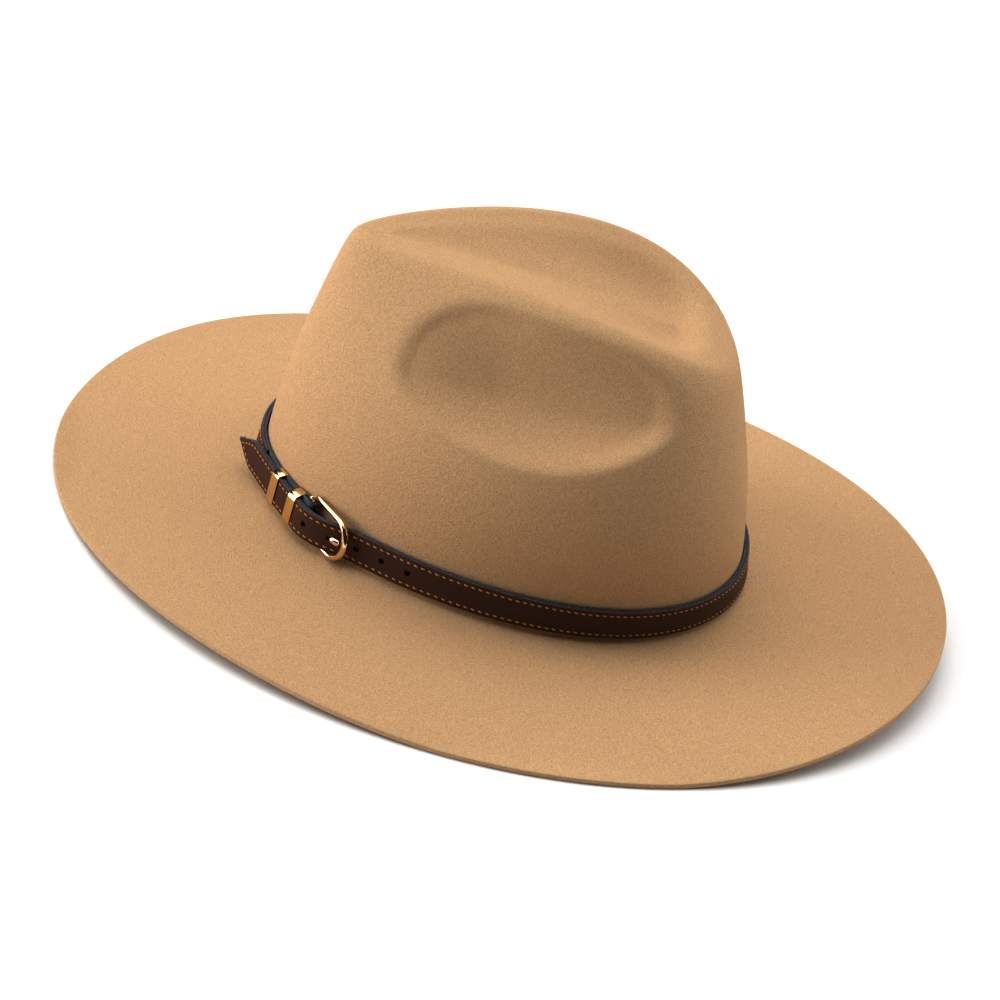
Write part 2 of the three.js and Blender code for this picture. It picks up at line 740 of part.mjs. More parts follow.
// The bow is soldered to its bar, and each arm ends in a short turn outward with a ball on it
function buckleFrame() {
  const axes = frameAxes();
  const bar = roundWire([framePoint(axes, 0, 1, 0), framePoint(axes, 0, -1, 0)],
    [BAR_RADIUS, BAR_RADIUS], axes.out);
  let solid = toManifold(bow(axes)).add(toManifold(bar));
  [1, -1].forEach((side) => {
    const place = framePoint(axes, 0, side, BALL_OUT);
    const turn = roundWire([framePoint(axes, 0, side, -ARM_DROP), place],
      [ARM_RADIUS, ARM_RADIUS], axes.along);
    const ball = new THREE.SphereGeometry(BALL_RADIUS, WIRE_SIDES, WIRE_SIDES / 2 + 1);
    ball.translate(place.x, place.y, place.z);
    solid = solid.add(toManifold(turn)).add(toManifold(ball));
  });
  return fromManifold(solid);
}

// One bent rod: a loop round the bar, then out to the round end of the frame
function buckleProng() {
  const bar = seat(BAR_ARC);
  const axes = faceAxes(bar, 1);
  const centre = strapPoint(bar, BAR_STAND, 1, 0.5);
  const loopRadius = BAR_RADIUS + GAP + PRONG_RADIUS;
  const loop = PRONG_LOOP_DEGREES.map((degrees) => {
    const angle = THREE.MathUtils.degToRad(degrees);
    return centre.clone().addScaledVector(axes.along, loopRadius * Math.cos(angle))
      .addScaledVector(axes.out, loopRadius * Math.sin(angle));
  });
  const rod = PRONG.map((row) => strapPoint(seat(row.arc), row.stand, PRONG_LEAN, 0.5));
  const path = new THREE.CatmullRomCurve3([...loop, ...rod]);
  return wire((share) => path.getPointAt(share), PRONG_RADIUS, 32, 3);
}

// A flat metal loop round all the plies at its arc
function keeper(arc) {
  const base = seat(arc);
  const tall = (GAP + KEEPER_GAUGE) / STRAP_WIDTH;
  const edgeStands = [-0.5, 0.5].map((side) => freeStand(arc + side * KEEPER_WIDTH));
  const outFace = Math.max(...edgeStands) + STRAP_FULL + GAP;
  const corner = (stand, leanShare, rise) => new THREE.Vector2(
    stand + base.lean * leanShare * rise, rise * STRAP_WIDTH);
  const loop = (grow) => {
    const reach = (tall * (GAP + grow)) / (GAP + KEEPER_GAUGE);
    return [
      corner(GAP + KEEPER_GAUGE - grow, 1, -reach),
      corner(outFace + grow, freeLean(arc), -reach),
      corner(outFace + grow, freeLean(arc), 1 + reach),
      corner(GAP + KEEPER_GAUGE - grow, 1, 1 + reach),
    ];
  };
  const shape = new THREE.Shape();
  roundedPath(shape, loop(KEEPER_GAUGE), KEEPER_CORNER);
  const hole = new THREE.Path();
  roundedPath(hole, loop(0), KEEPER_INNER_CORNER);
  shape.holes.push(hole);
  const geometry = new THREE.ExtrudeGeometry(shape, {
    depth: KEEPER_WIDTH, curveSegments: 3, steps: 1, bevelEnabled: false,
  });
  geometry.translate(0, 0, -KEEPER_WIDTH / 2);
  const backward = base.along.clone().negate();
  const up = new THREE.Vector3(0, 0, 1);
  return geometry.applyMatrix4(new THREE.Matrix4().makeBasis(base.outward, up, backward)
    .setPosition(base.low));
}

function roundedPath(path, corners, radius) {
  corners.forEach((corner, index) => {
    const before = corners[(index + corners.length - 1) % corners.length];
    const after = corners[(index + 1) % corners.length];
    const start = before.clone().sub(corner).setLength(radius).add(corner);
    const finish = after.clone().sub(corner).setLength(radius).add(corner);
    if (index === 0) path.moveTo(start.x, start.y);
    else path.lineTo(start.x, start.y);
    path.quadraticCurveTo(corner.x, corner.y, finish.x, finish.y);
  });
  path.closePath();
}

const felt = new THREE.MeshStandardMaterial({ color: COLOURS.felt, roughness: 1 });
const leather = new THREE.MeshStandardMaterial({ color: COLOURS.leather, roughness: 0.5 });
const backing = new THREE.MeshStandardMaterial({ color: COLOURS.backing, roughness: 0.9 });
const brass = new THREE.MeshStandardMaterial({
  color: COLOURS.brass, roughness: 0.22, metalness: 1,
});

function piece(name, geometry, material) {
  const mesh = new THREE.Mesh(geometry, material);
  mesh.name = name;
  return mesh;
}

const hat = new THREE.Group();
hat.position.y = -BRIM_SHIFT_BACK;
hat.add(piece('felt_body', feltBody(), felt));
hat.add(piece('strap_face', strapFace(), leather));
hat.add(piece('strap_backing', strapBacking(), backing));
hat.add(piece('buckle_frame', buckleFrame(), brass));
hat.add(piece('buckle_prong', buckleProng(), brass));
KEEPERS.forEach((row) => hat.add(piece(row.name, keeper(row.arc), brass)));

export default hat;
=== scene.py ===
import math

import bmesh
import bpy
import numpy as np
from mathutils import Matrix, Vector


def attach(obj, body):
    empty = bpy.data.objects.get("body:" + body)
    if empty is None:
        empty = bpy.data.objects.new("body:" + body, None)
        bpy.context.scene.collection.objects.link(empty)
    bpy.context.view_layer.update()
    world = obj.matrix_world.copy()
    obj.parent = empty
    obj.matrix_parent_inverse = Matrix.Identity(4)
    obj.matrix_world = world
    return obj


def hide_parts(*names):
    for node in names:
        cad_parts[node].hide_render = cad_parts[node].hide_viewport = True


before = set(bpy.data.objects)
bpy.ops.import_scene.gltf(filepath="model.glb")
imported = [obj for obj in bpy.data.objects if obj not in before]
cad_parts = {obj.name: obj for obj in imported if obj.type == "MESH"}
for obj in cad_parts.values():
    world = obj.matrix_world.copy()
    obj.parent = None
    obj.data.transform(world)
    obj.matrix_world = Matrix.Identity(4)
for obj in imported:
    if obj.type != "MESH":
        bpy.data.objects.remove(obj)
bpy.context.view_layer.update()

scene = bpy.context.scene

# The camera
# A long lens stands on the wearer's left, a little ahead of the hat and 30 degrees up, and is
# rolled so that the far brim rises to the left.
MM = 0.001
PHOTO_SIDE = 1000
LOOK_AT = Vector((0, -2.8, 12.6)) * MM
LOOK_AT_PIXEL = (503.43, 508.5)
PIXELS_PER_MM = 2.4573
CAMERA_AZIMUTH = math.radians(80.204)
CAMERA_ELEVATION = math.radians(29.959)
CAMERA_ROLL = math.radians(16.643)
CAMERA_DISTANCE = 1350.44 * MM
SENSOR_WIDTH = 36


def camera_axes():
    """Right, up and backward of the lens, rolled about the line of sight."""
    level = math.cos(CAMERA_ELEVATION)
    backward = Vector((math.sin(CAMERA_AZIMUTH) * level, -math.cos(CAMERA_AZIMUTH) * level,
                       math.sin(CAMERA_ELEVATION)))
    right = Vector((0, 0, 1)).cross(backward).normalized()
    up = backward.cross(right)
    cosine, sine = math.cos(CAMERA_ROLL), math.sin(CAMERA_ROLL)
    return cosine * right + sine * up, cosine * up - sine * right, backward


right, up, backward = camera_axes()
lens = bpy.data.cameras.new("photo_lens")
lens.sensor_fit = "HORIZONTAL"
lens.sensor_width = SENSOR_WIDTH
lens.lens = SENSOR_WIDTH * PIXELS_PER_MM / MM * CAMERA_DISTANCE / PHOTO_SIDE
lens.shift_x = (PHOTO_SIDE / 2 - LOOK_AT_PIXEL[0]) / PHOTO_SIDE
lens.shift_y = (LOOK_AT_PIXEL[1] - PHOTO_SIDE / 2) / PHOTO_SIDE
lens.clip_end = 40
camera = bpy.data.objects.new("photo_camera", lens)
camera.matrix_world = Matrix.Translation(LOOK_AT + CAMERA_DISTANCE * backward) @ Matrix((
    right, up, backward)).transposed().to_4x4()
scene.collection.objects.link(camera)
scene.camera = camera

# The felt body
# Crown and brim are one piece of wool felt 2.2 mm thick, steamed over a block: a teardrop
# crease in the top, a pinch in each side, and a wide brim with a raw-cut edge that dips at
# the front and the sides, where the hat rests on it.
FELT_THICKNESS = 2.2
HEAD_HALF_LENGTH = 101
HEAD_HALF_WIDTH = 84.7
HEAD_EGG = 0.016
BRIM_HALF_LENGTH = 185.5
BRIM_HALF_WIDTH = 165.3
BRIM_SHIFT_BACK = 2.8
CREST_FRONT = 91.5
CREST_BACK = 66.8
CREST_HALF_WIDTH = 44.8
CREST_EGG = 0.39
CREST_SHIFT_BACK = 3.9
CREST_SETTLE = 1.5
END_BULGE = 3.8
SIDE_BULGE = 17.3
SIDE_BULGE_HIGHER = 0.6
BREAK_RISE = 1.6
CREASE_CENTRE_BACK = 23
CREASE_FLOOR_HALF_WIDTH = 5
CREASE_FLOOR_HALF_LENGTH = 20
CREASE_FRONT_DEPTH = 3.6
CREASE_BACK_DEPTH = 14
CREASE_DROP_AT = 19.4
CREASE_DROP_HALF_LENGTH = 38
CREASE_ROLL_REACH = 19

# Heights round the hat: each (turns, height) adds height * cos(turns * angle)
BREAK_HEIGHT = ((0, 10.6), (1, 1.86), (2, -0.29), (3, -0.86))
BRIM_EDGE_HEIGHT = ((0, 5.54), (1, -3.95), (2, 3.16), (3, -2.48), (4, -1.15))
CREST_HEIGHT = ((0, 123.2), (1, 7.6), (2, -6.8))

# Control rows from the brim edge over the crest to the middle of the crease, with the rings
# of the outer and the inner skin up to the next row. Brim and wall rows give their share of
# the way, crease rows their millimetres inside the crest, the most share of the way in, and
# their share of the depth.
FELT_ROWS = (
    {"zone": "brim", "reach": 1, "outside": 6, "inside": 4},
    {"zone": "brim", "reach": 0.8, "outside": 5, "inside": 3},
    {"zone": "brim", "reach": 0.6, "outside": 5, "inside": 3},
    {"zone": "brim", "reach": 0.4, "outside": 5, "inside": 3},
    {"zone": "brim", "reach": 0.2, "outside": 7, "inside": 3},
    {"zone": "brim", "reach": 0.045, "outside": 7, "inside": 3},
    {"zone": "break", "reach": 0, "outside": 6, "inside": 3},
    {"zone": "wall", "reach": 0.06, "outside": 6, "inside": 3},
    {"zone": "wall", "reach": 0.25, "outside": 7, "inside": 3},
    {"zone": "wall", "reach": 0.42, "outside": 14, "inside": 3},
    {"zone": "wall", "reach": 0.6, "outside": 20, "inside": 3},
    {"zone": "wall", "reach": 0.835, "outside": 12, "inside": 4},
    {"zone": "wall", "reach": 0.925, "outside": 12, "inside": 4},
    {"zone": "crest", "reach": 0, "outside": 8, "inside": 4},
    {"zone": "crease", "reach": 6.6, "limit": 0.35, "depth": 0.09, "settle": 1,
     "outside": 8, "inside": 4},
    {"zone": "crease", "reach": 12.4, "limit": 0.6, "depth": 0.265, "settle": 0,
     "outside": 8, "inside": 4},
    {"zone": "crease", "reach": CREASE_ROLL_REACH, "limit": 0.8, "depth": 0.59,
     "settle": 0, "outside": 6, "inside": 3},
    {"zone": "floor", "reach": 0.5, "outside": 6, "inside": 3},
    {"zone": "floor", "reach": 1, "outside": 0, "inside": 0},
)
LAST_ROW = len(FELT_ROWS) - 1
BREAK_ROW = [row["zone"] for row in FELT_ROWS].index("break")
CREST_ROW = [row["zone"] for row in FELT_ROWS].index("crest")
FELT_COLUMNS = 480
EDGE_RINGS = 8
EDGE_ROUNDING = 0.7
EDGE_SQUARENESS = 0.6

# The pinch: an egg-shaped hollow with lengths before and behind its centre in millimetres,
# level and heights above and below it in shares of the crown's height over its foot, and an
# edge eased over a share of the way in. It fades out over so many rows above the break and
# under the crest, and so many millimetres off the middle.
CROWN_FOOT = 12.6
PINCH_DEPTH = 17.6
PINCH_DEEPER_BEHIND = 0.35
PINCH_CENTRE_Y = -21.6
PINCH_LENGTHS = (47, 73.5)
PINCH_LEVEL = 0.675
PINCH_CURVE_UP_BEHIND = 0.154
PINCH_HEIGHTS = (0.3, 0.145)
PINCH_SQUARENESS = 2.18
PINCH_SHARPNESS = 1.71
PINCH_SOFTNESS = 1.13
PINCH_EDGE = 0.25
PINCH_FADE_OVER_BREAK = 2
PINCH_FADE_UNDER_CREST = 1.5
PINCH_FADE_OFF_MIDDLE = 25


def wave(terms, angles):
    """The sum over the terms of height * cos(turns * angle)."""
    return sum(height * np.cos(turns * angles) for turns, height in terms)


def mix(start, end, share):
    """A share of the straight way from start to end."""
    return start + (end - start) * share


def column(values):
    """Values with one more axis at the end, so that they scale points or pairs."""
    return np.asarray(values)[..., None]


def head_oval(angles):
    """The foot of the crown: half width * sin and half length * -cos of the angle, the
    width a small share less in front and more behind."""
    width = HEAD_HALF_WIDTH * (1 - HEAD_EGG * np.cos(angles))
    return np.stack([width * np.sin(angles), -HEAD_HALF_LENGTH * np.cos(angles)], -1)


def brim_oval(angles):
    """The brim's edge from above: an ellipse set back from the middle of the head."""
    return np.stack([BRIM_HALF_WIDTH * np.sin(angles),
                     BRIM_SHIFT_BACK - BRIM_HALF_LENGTH * np.cos(angles)], -1)


def crest_loop(angles):
    """The crest round the crease: an oval whose width shrinks and whose length grows with
    the cosine of the angle, so that it has a nose in front."""
    cosine = np.cos(angles)
    width = CREST_HALF_WIDTH * (1 - CREST_EGG * cosine)
    length = (CREST_FRONT + CREST_BACK) / 2 + (CREST_FRONT - CREST_BACK) / 2 * cosine
    return np.stack([width * np.sin(angles), CREST_SHIFT_BACK - length * cosine], -1)


def crease_floor(angles):
    """The floor of the crease: a narrow ellipse that the rolled sides run down to."""
    return np.stack([CREASE_FLOOR_HALF_WIDTH * np.sin(angles),
                     CREASE_CENTRE_BACK - CREASE_FLOOR_HALF_LENGTH * np.cos(angles)], -1)


def crest_reach(angles):
    """Distance from the edge of the crease's floor, square to the crest's tangent."""
    step = 0.01
    along = crest_loop(angles + step) - crest_loop(angles - step)
    along /= column(np.hypot(along[..., 0], along[..., 1]))
    arm = crest_loop(angles) - crease_floor(angles)
    return np.abs(arm[..., 0] * along[..., 1] - arm[..., 1] * along[..., 0])


def smooth_step(values):
    """A rise from 0 at -1 to 1 at 1, level at both ends: 1/2 + 3/4 x - 1/4 x cubed."""
    share = np.clip(values, -1, 1)
    return 0.5 + 0.75 * share - 0.25 * share ** 3


def top_points(angles, share, depth_share, lift):
    """Points inside the crest: a share of the way from it to the crease's floor, at the
    crest's height, whose waves fade on the way in, less a share of the crease's depth."""
    place = mix(crest_loop(angles), crease_floor(angles), column(share))
    rim = sum(height * (1 - share) ** turns * np.cos(turns * angles)
              for turns, height in CREST_HEIGHT)
    drop = smooth_step((place[..., 1] - CREASE_DROP_AT) / CREASE_DROP_HALF_LENGTH)
    depth = mix(CREASE_FRONT_DEPTH, CREASE_BACK_DEPTH, drop)
    return np.concatenate([place, column(rim - depth * depth_share + lift)], -1)


def wall_points(angles, share, lift):
    """Points of the wall: a share of the straight way from the foot of the crown to the
    crest, moved out by the bulge * 4 * share * (1 - share)."""
    outward = np.stack([np.sin(angles) / HEAD_HALF_WIDTH, -np.cos(angles) / HEAD_HALF_LENGTH], -1)
    outward /= column(np.hypot(outward[..., 0], outward[..., 1]))
    place = mix(head_oval(angles), crest_loop(angles), share)
    sideways = np.sin(angles) ** 2
    higher = 1 - SIDE_BULGE_HIGHER * sideways * (1 - 2 * share)
    bulge = mix(END_BULGE, SIDE_BULGE, sideways) * higher
    place = place + outward * column(bulge * 4 * share * (1 - share))
    height = mix(wave(BREAK_HEIGHT, angles), wave(CREST_HEIGHT, angles), share) + lift
    return np.concatenate([place, column(height)], -1)


def control_points(row, angles):
    """A control row: brim rows straight between break and brim edge, wall rows on the wall,
    and crease rows their reach inside the crest."""
    reach = row["reach"]
    if row["zone"] == "brim":
        height = mix(wave(BREAK_HEIGHT, angles), wave(BRIM_EDGE_HEIGHT, angles), reach)
        place = mix(head_oval(angles), brim_oval(angles), reach)
        return np.concatenate([place, column(height)], -1)
    if row["zone"] == "break":
        return wall_points(angles, 0, BREAK_RISE)
    if row["zone"] == "wall":
        return wall_points(angles, reach, 0)
    if row["zone"] == "crest":
        return top_points(angles, np.zeros_like(angles), 0, -CREST_SETTLE)
    if row["zone"] == "floor":
        limit = FELT_ROWS[LAST_ROW - 2]["limit"]
        roll_foot = np.minimum(CREASE_ROLL_REACH / crest_reach(angles), limit)
        return top_points(angles, mix(roll_foot, 1, reach), 1, 0)
    share = np.minimum(reach / crest_reach(angles), row["limit"])
    return top_points(angles, share, row["depth"], -CREST_SETTLE * row["settle"])


def pinch_depth(points, angles, places):
    """How far the pinch moves each point toward the middle of the hat: its depth times
    (1 - r ** sharpness) ** softness, where r is 0 at its centre and 1 on its egg-shaped
    rim, eased at the rim and faded out near the break, the crest and the middle."""
    behind = points[..., 1] - PINCH_CENTRE_Y
    along = behind / np.where(behind < 0, *PINCH_LENGTHS)
    level = PINCH_LEVEL + PINCH_CURVE_UP_BEHIND * np.maximum(along, 0) ** 2
    crown_height = wave(CREST_HEIGHT, angles) - CROWN_FOOT
    above = (points[..., 2] - CROWN_FOOT) / crown_height - level
    across = above / np.where(above > 0, *PINCH_HEIGHTS)
    away = (np.abs(along) ** PINCH_SQUARENESS + np.abs(across) ** PINCH_SQUARENESS)
    away = away ** (1 / PINCH_SQUARENESS)
    shape = np.maximum(1 - away ** PINCH_SHARPNESS, 0) ** PINCH_SOFTNESS
    shape = shape * smooth_step(2 * (1 - away) / PINCH_EDGE - 1)
    deeper = 1 + PINCH_DEEPER_BEHIND * np.clip(along, -1, 1)
    over_break = np.clip((places - BREAK_ROW) / PINCH_FADE_OVER_BREAK, 0, 1)
    under_crest = np.clip((CREST_ROW + 1 - places) / PINCH_FADE_UNDER_CREST, 0, 1)
    off_middle = np.clip(np.abs(points[..., 0]) / PINCH_FADE_OFF_MIDDLE, 0, 1)
    return PINCH_DEPTH * shape * deeper * column(over_break * under_crest) * off_middle


def felt_points(angles, places):
    """The outer skin at each place (a row of the result) and angle (a column of it): a
    uniform cubic spline over the control rows, which go straight on past both ends, less
    the pinch. Millimetres, before the brim is pressed flat."""
    rows = np.stack([control_points(row, angles) for row in FELT_ROWS])
    rows = np.concatenate([2 * rows[:1] - rows[1:2], rows, 2 * rows[-1:] - rows[-2:-1]])
    start = np.clip(np.floor(places), 0, LAST_ROW - 1).astype(int)
    u = places - start
    weights = ((1 - u) ** 3, 3 * u ** 3 - 6 * u ** 2 + 4, -3 * u ** 3 + 3 * u ** 2 + 3 * u + 1,
               u ** 3)
    points = sum(rows[start + step] * column(column(weight / 6))
                 for step, weight in enumerate(weights))
    points[..., 0] -= np.sign(points[..., 0]) * pinch_depth(points, angles, places)
    return points


def unit(vectors):
    """Vectors divided by their lengths."""
    return vectors / column(np.sqrt((vectors ** 2).sum(-1)))


def felt_normals(angles, places):
    """Outward normals, from the surface a little to each side of every place and angle."""
    step = 0.02
    low = np.clip(places - step, 0, LAST_ROW - step)
    high = np.clip(places + step, step, LAST_ROW - step / 2)
    round_hat = felt_points(angles + step, places) - felt_points(angles - step, places)
    up_rows = felt_points(angles, high) - felt_points(angles, low)
    return unit(np.cross(round_hat, up_rows))


def ring_places(side):
    """Places of the rings of one skin: each row's span in equal steps."""
    return np.array([index + step / row[side]
                     for index, row in enumerate(FELT_ROWS) for step in range(row[side])])


def closed_skin(name, rings, first, last):
    """A closed mesh over rings of equal length, with one point at each end. The faces run
    from ring to ring round the axis."""
    count, columns = rings.shape[:2]
    points = np.concatenate([[first], rings.reshape(-1, 3), [last]]) * MM
    here = np.arange(columns)
    after = (here + 1) % columns
    starts = 1 + np.arange(count - 1)[:, None] * columns
    quads = np.stack([starts + here, starts + columns + here, starts + columns + after,
                      starts + after], -1).reshape(-1, 4)
    end = 1 + (count - 1) * columns
    caps = np.concatenate([
        np.stack([np.zeros(columns, int), 1 + here, 1 + after], -1),
        np.stack([np.full(columns, len(points) - 1), end + after, end + here], -1)])
    mesh = bpy.data.meshes.new(name)
    mesh.from_pydata(points.tolist(), [], quads.tolist() + caps.tolist())
    mesh.shade_smooth()
    piece = bpy.data.objects.new(name, mesh)
    scene.collection.objects.link(piece)
    return piece


def squarer(values):
    """Sines or cosines to a power below 1, sign kept: a half circle of them gets squarer."""
    return np.sign(values) * np.abs(values) ** EDGE_SQUARENESS


def felt_rings():
    """The outer skin from the crease to the brim, the rounded cut edge and the inner skin,
    which lies a thickness down the normals, back to the crease. The brim is pressed flat:
    nothing of it is lower than the surface that it rests on."""
    angles = np.linspace(0, 2 * np.pi, FELT_COLUMNS, endpoint=False)
    outer_places = np.append(ring_places("outside"), LAST_ROW)[:0:-1]
    outer = felt_points(angles, outer_places)
    outer[..., 2] = np.maximum(outer[..., 2], FELT_THICKNESS)
    inner_places = np.append(ring_places("inside")[1:], LAST_ROW)
    inner = felt_points(angles, inner_places)
    inner -= FELT_THICKNESS * felt_normals(angles, inner_places)
    inner[..., 2] = np.maximum(inner[..., 2], 0)
    rim = felt_points(angles, np.zeros(1))[0]
    normal = felt_normals(angles, np.zeros(1))[0]
    inside_rim = 0.2
    radial = unit(rim - felt_points(angles, np.full(1, inside_rim))[0])
    turns = np.linspace(0, np.pi, EDGE_RINGS)[:, None, None]
    edge = rim + radial * EDGE_ROUNDING * (squarer(np.sin(turns)) - 1)
    edge = edge - normal * FELT_THICKNESS * (1 - squarer(np.cos(turns))) / 2
    low = FELT_THICKNESS * (1 + squarer(np.cos(turns[..., 0]))) / 2
    edge[..., 2] = np.maximum(edge[..., 2], low)
    return np.concatenate([outer, edge, inner])


def to_linear(colour):
    """An sRGB hex colour as linear red, green, blue and full alpha."""
    channels = [int(colour[place:place + 2], 16) / 255 for place in (1, 3, 5)]
    return [value / 12.92 if value <= 0.04045 else ((value + 0.055) / 1.055) ** 2.4
            for value in channels] + [1]


def add_node(tree, kind, inputs=None, **settings):
    """A node with its settings; each input is given a value or the socket that feeds it."""
    node = tree.nodes.new(kind)
    for name, value in settings.items():
        setattr(node, name, value)
    for name, value in (inputs or {}).items():
        if isinstance(value, bpy.types.NodeSocket):
            tree.links.new(value, node.inputs[name])
        else:
            node.inputs[name].default_value = value
    return node


def new_material(name, **inputs):
    """A material and its surface, whose inputs are named with underscores for spaces."""
    material = bpy.data.materials.new(name)
    material.use_nodes = True
    surface = material.node_tree.nodes["Principled BSDF"]
    for name, value in inputs.items():
        surface.inputs[name.replace("_", " ")].default_value = value
    return material, material.node_tree, surface


def grain(tree, size, detail):
    """Noise with lumps of about the given size in millimetres, on the piece's own place."""
    places = add_node(tree, "ShaderNodeTexCoord")
    scaled = add_node(tree, "ShaderNodeMapping", {
        "Vector": places.outputs["Object"], "Scale": [1 / (size * MM)] * 3})
    return add_node(tree, "ShaderNodeTexNoise", {
        "Vector": scaled.outputs["Vector"], "Scale": 1.0, "Detail": detail}).outputs["Fac"]


def wool_felt():
    """Matt wool felt: a soft tan with short darker and paler fibres that catch the light."""
    material, tree, surface = new_material(
        "wool_felt", Roughness=1.0, Specular_IOR_Level=0.03)
    fibres = add_node(tree, "ShaderNodeMapRange", {
        "Value": grain(tree, FIBRE_SPECK, 3), "From Min": 0.3, "From Max": 0.7})
    tan = add_node(tree, "ShaderNodeMix", {
        "Factor": fibres.outputs["Result"], "A": to_linear(FELT_DARK),
        "B": to_linear(FELT_PALE)}, data_type="RGBA")
    tree.links.new(tan.outputs["Result"], surface.inputs["Base Color"])
    nap = add_node(tree, "ShaderNodeBump", {
        "Height": grain(tree, NAP_LUMP, 3), "Strength": 1.0, "Distance": NAP_HEIGHT * MM})
    tree.links.new(nap.outputs["Normal"], surface.inputs["Normal"])
    return material


# The fibres are some hundredths of a millimetre thick; specks and nap are drawn as coarse
# as they need to be to show.
FELT_DARK = "#B69674"
FELT_PALE = "#D6B28B"
FIBRE_SPECK = 0.6
NAP_LUMP = 0.6
NAP_HEIGHT = 0.35

rings = felt_rings() - (0, BRIM_SHIFT_BACK, 0)
crease_top = felt_points(np.array((0, np.pi)), np.full(1, float(LAST_ROW)))[0].mean(0)
crease_top[1] -= BRIM_SHIFT_BACK
felt = closed_skin("felt_hat", rings, crease_top, crease_top - (0, 0, FELT_THICKNESS))
felt.data.materials.append(wool_felt())
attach(felt, "root")
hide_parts("felt_body")

# The strap
# Two plies of bridle leather 1.1 mm thick, sewn together along both edges, go round the foot
# of the crown; the free end passes over the buckle and under two keepers. The dark inner ply
# runs on alone to the buckle's bar and turns round it.
GAP = 0.05
PLY = 1.1
STRAP_WIDTH = 12.2
STRAP_ABOVE_BREAK = 3
SEAT_CLEARANCE = 0.25
STRAP_FULL = 2 * PLY + GAP
STRAP_STEP = 0.8
LADDER_STEPS = 300
SEAT_STEPS = 1440
SIDE_STEP = 0.01
PLY_EDGE_ROUNDING = 0.35
PLY_CORNER_STEPS = 4
PLY_INNER_POINTS = 7
SHARP_FOLD = math.radians(50)
POINT_LENGTH = 13
POINT_CURVE = 1.3
POINT_BLUNTNESS = 0.05
HOLE_RADIUS = 1.25
HOLE_PITCH = 11
HOLE_COUNT = 5
HOLE_SIDES = 28
FIRST_HOLE_ARC = 59.2
BAR_ARC = 57
BAR_STAND = 2.85
BAR_RAISED = 1.6
BAR_RADIUS = 0.9
TABLE_ROUNDING = 3
TABLE_SAMPLES = 13

# The free end over the buckle: arc round the foot of the crown from the front, stand of its
# inner face out from the felt, and lean as a share of the felt's own
FREE_END = np.array((
    (30, 1.05, 0.3), (35, 1.25, 0.3), (40, 1.7, 0.3), (44, 2.2, 0.3), (49, 2.7, 0.3),
    (52, 3.6, 0.3), (57, 5.1, 0.3), (62, 5, 0.3), (66.5, 4.3, 0.35), (71, 2.9, 0.45),
    (74, 1.7, 0.55), (76.5, 1.05, 0.65), (79, 0.65, 0.75), (84, 0.3, 0.9), (90, GAP, 1),
    (96, GAP, 1)))
FREE_END_BEYOND = 31.5

# The inner ply alone, under the free end to the bar and, turned round it, back along the
# felt: arc, stand, and how far it has climbed above the strap
UNDER_END = np.array(((20, 0.35, 1.4), (26, 0.3, 1.3), (31, 0.3, 1.1), (39, 0.45, 1),
                      (44, 1, 1.1), (49, 1.5, 1.3), (52, 2.3, 1.4), (54.5, 3.2, 1.5)))
TURNED_BACK = np.array(((46, 0.1, 1.2), (51.8, 0.35, 1.4), (54.5, 0.6, 1.5)))
BAR_TURN_STEPS = 12
LINING_STEPS = 5
FACE_STARTS_AT_ARC = 19

# The sewn strap at the crown's front, next to the buckle: arc, and how far it stands off
# and has climbed there
FRONT_LIFT = np.array(((-50, 0, 0), (-25, 0.15, 0.5), (-5, 0.3, 1.1), (19, 0.3, 1.4)))


def felt_line(angles, above_break):
    """The felt's outline at a height above the break, found on a fine ladder of places."""
    ladder = felt_points(angles, np.linspace(BREAK_ROW - 1, CREST_ROW - 3, LADDER_STEPS))
    height = wave(BREAK_HEIGHT, angles) + above_break
    below = (ladder[..., 2] < height).sum(0) - 1
    columns = np.arange(len(angles))
    low, high = ladder[below, columns], ladder[below + 1, columns]
    return mix(low, high, column((height - low[:, 2]) / (high[:, 2] - low[:, 2])))


def seat_table():
    """Round the hat: arc along the head oval, lower edge line of the strap, direction along
    it, direction out of it, and the felt's lean over the strap's width."""
    angles = np.linspace(0, 2 * np.pi, SEAT_STEPS + 1)
    oval = head_oval(angles)
    steps = np.diff(oval, axis=0)
    arcs = np.concatenate([[0], np.cumsum(np.hypot(steps[:, 0], steps[:, 1]))])
    low = felt_line(angles, STRAP_ABOVE_BREAK)
    high = felt_line(angles, STRAP_ABOVE_BREAK + STRAP_WIDTH)
    along = felt_line(angles + SIDE_STEP, STRAP_ABOVE_BREAK)
    along = along - felt_line(angles - SIDE_STEP, STRAP_ABOVE_BREAK)
    along = unit(along * (1, 1, 0))
    outward = np.stack([along[:, 1], -along[:, 0], np.zeros(len(angles))], -1)
    lean = ((high - low) * outward).sum(-1, keepdims=True)
    low += outward * SEAT_CLEARANCE - (0, BRIM_SHIFT_BACK, 0)
    low[:, 2] = wave(BREAK_HEIGHT, angles) + STRAP_ABOVE_BREAK
    return arcs, np.concatenate([low, along, outward, lean], -1)


SEAT_ARCS, SEATS = seat_table()
ROUND = SEAT_ARCS[-1]


def seat(arcs):
    """Lower edge, along, outward and lean at each arc, each with a last axis."""
    wrapped = np.mod(arcs, ROUND)
    values = np.stack([np.interp(wrapped, SEAT_ARCS, part) for part in SEATS.T], -1)
    return np.split(values, (3, 6, 9), axis=-1)


def strap_point(base, stand, lean_share, rise):
    """A point over a seat: up by the rise, which is 0 at the strap's lower edge and 1 at its
    upper edge, and out by the stand and the felt's lean at that rise."""
    low, along, outward, lean = base
    sideways = column(stand) + lean * column(lean_share) * column(rise)
    return low + np.multiply(column(rise), (0, 0, STRAP_WIDTH)) + outward * sideways


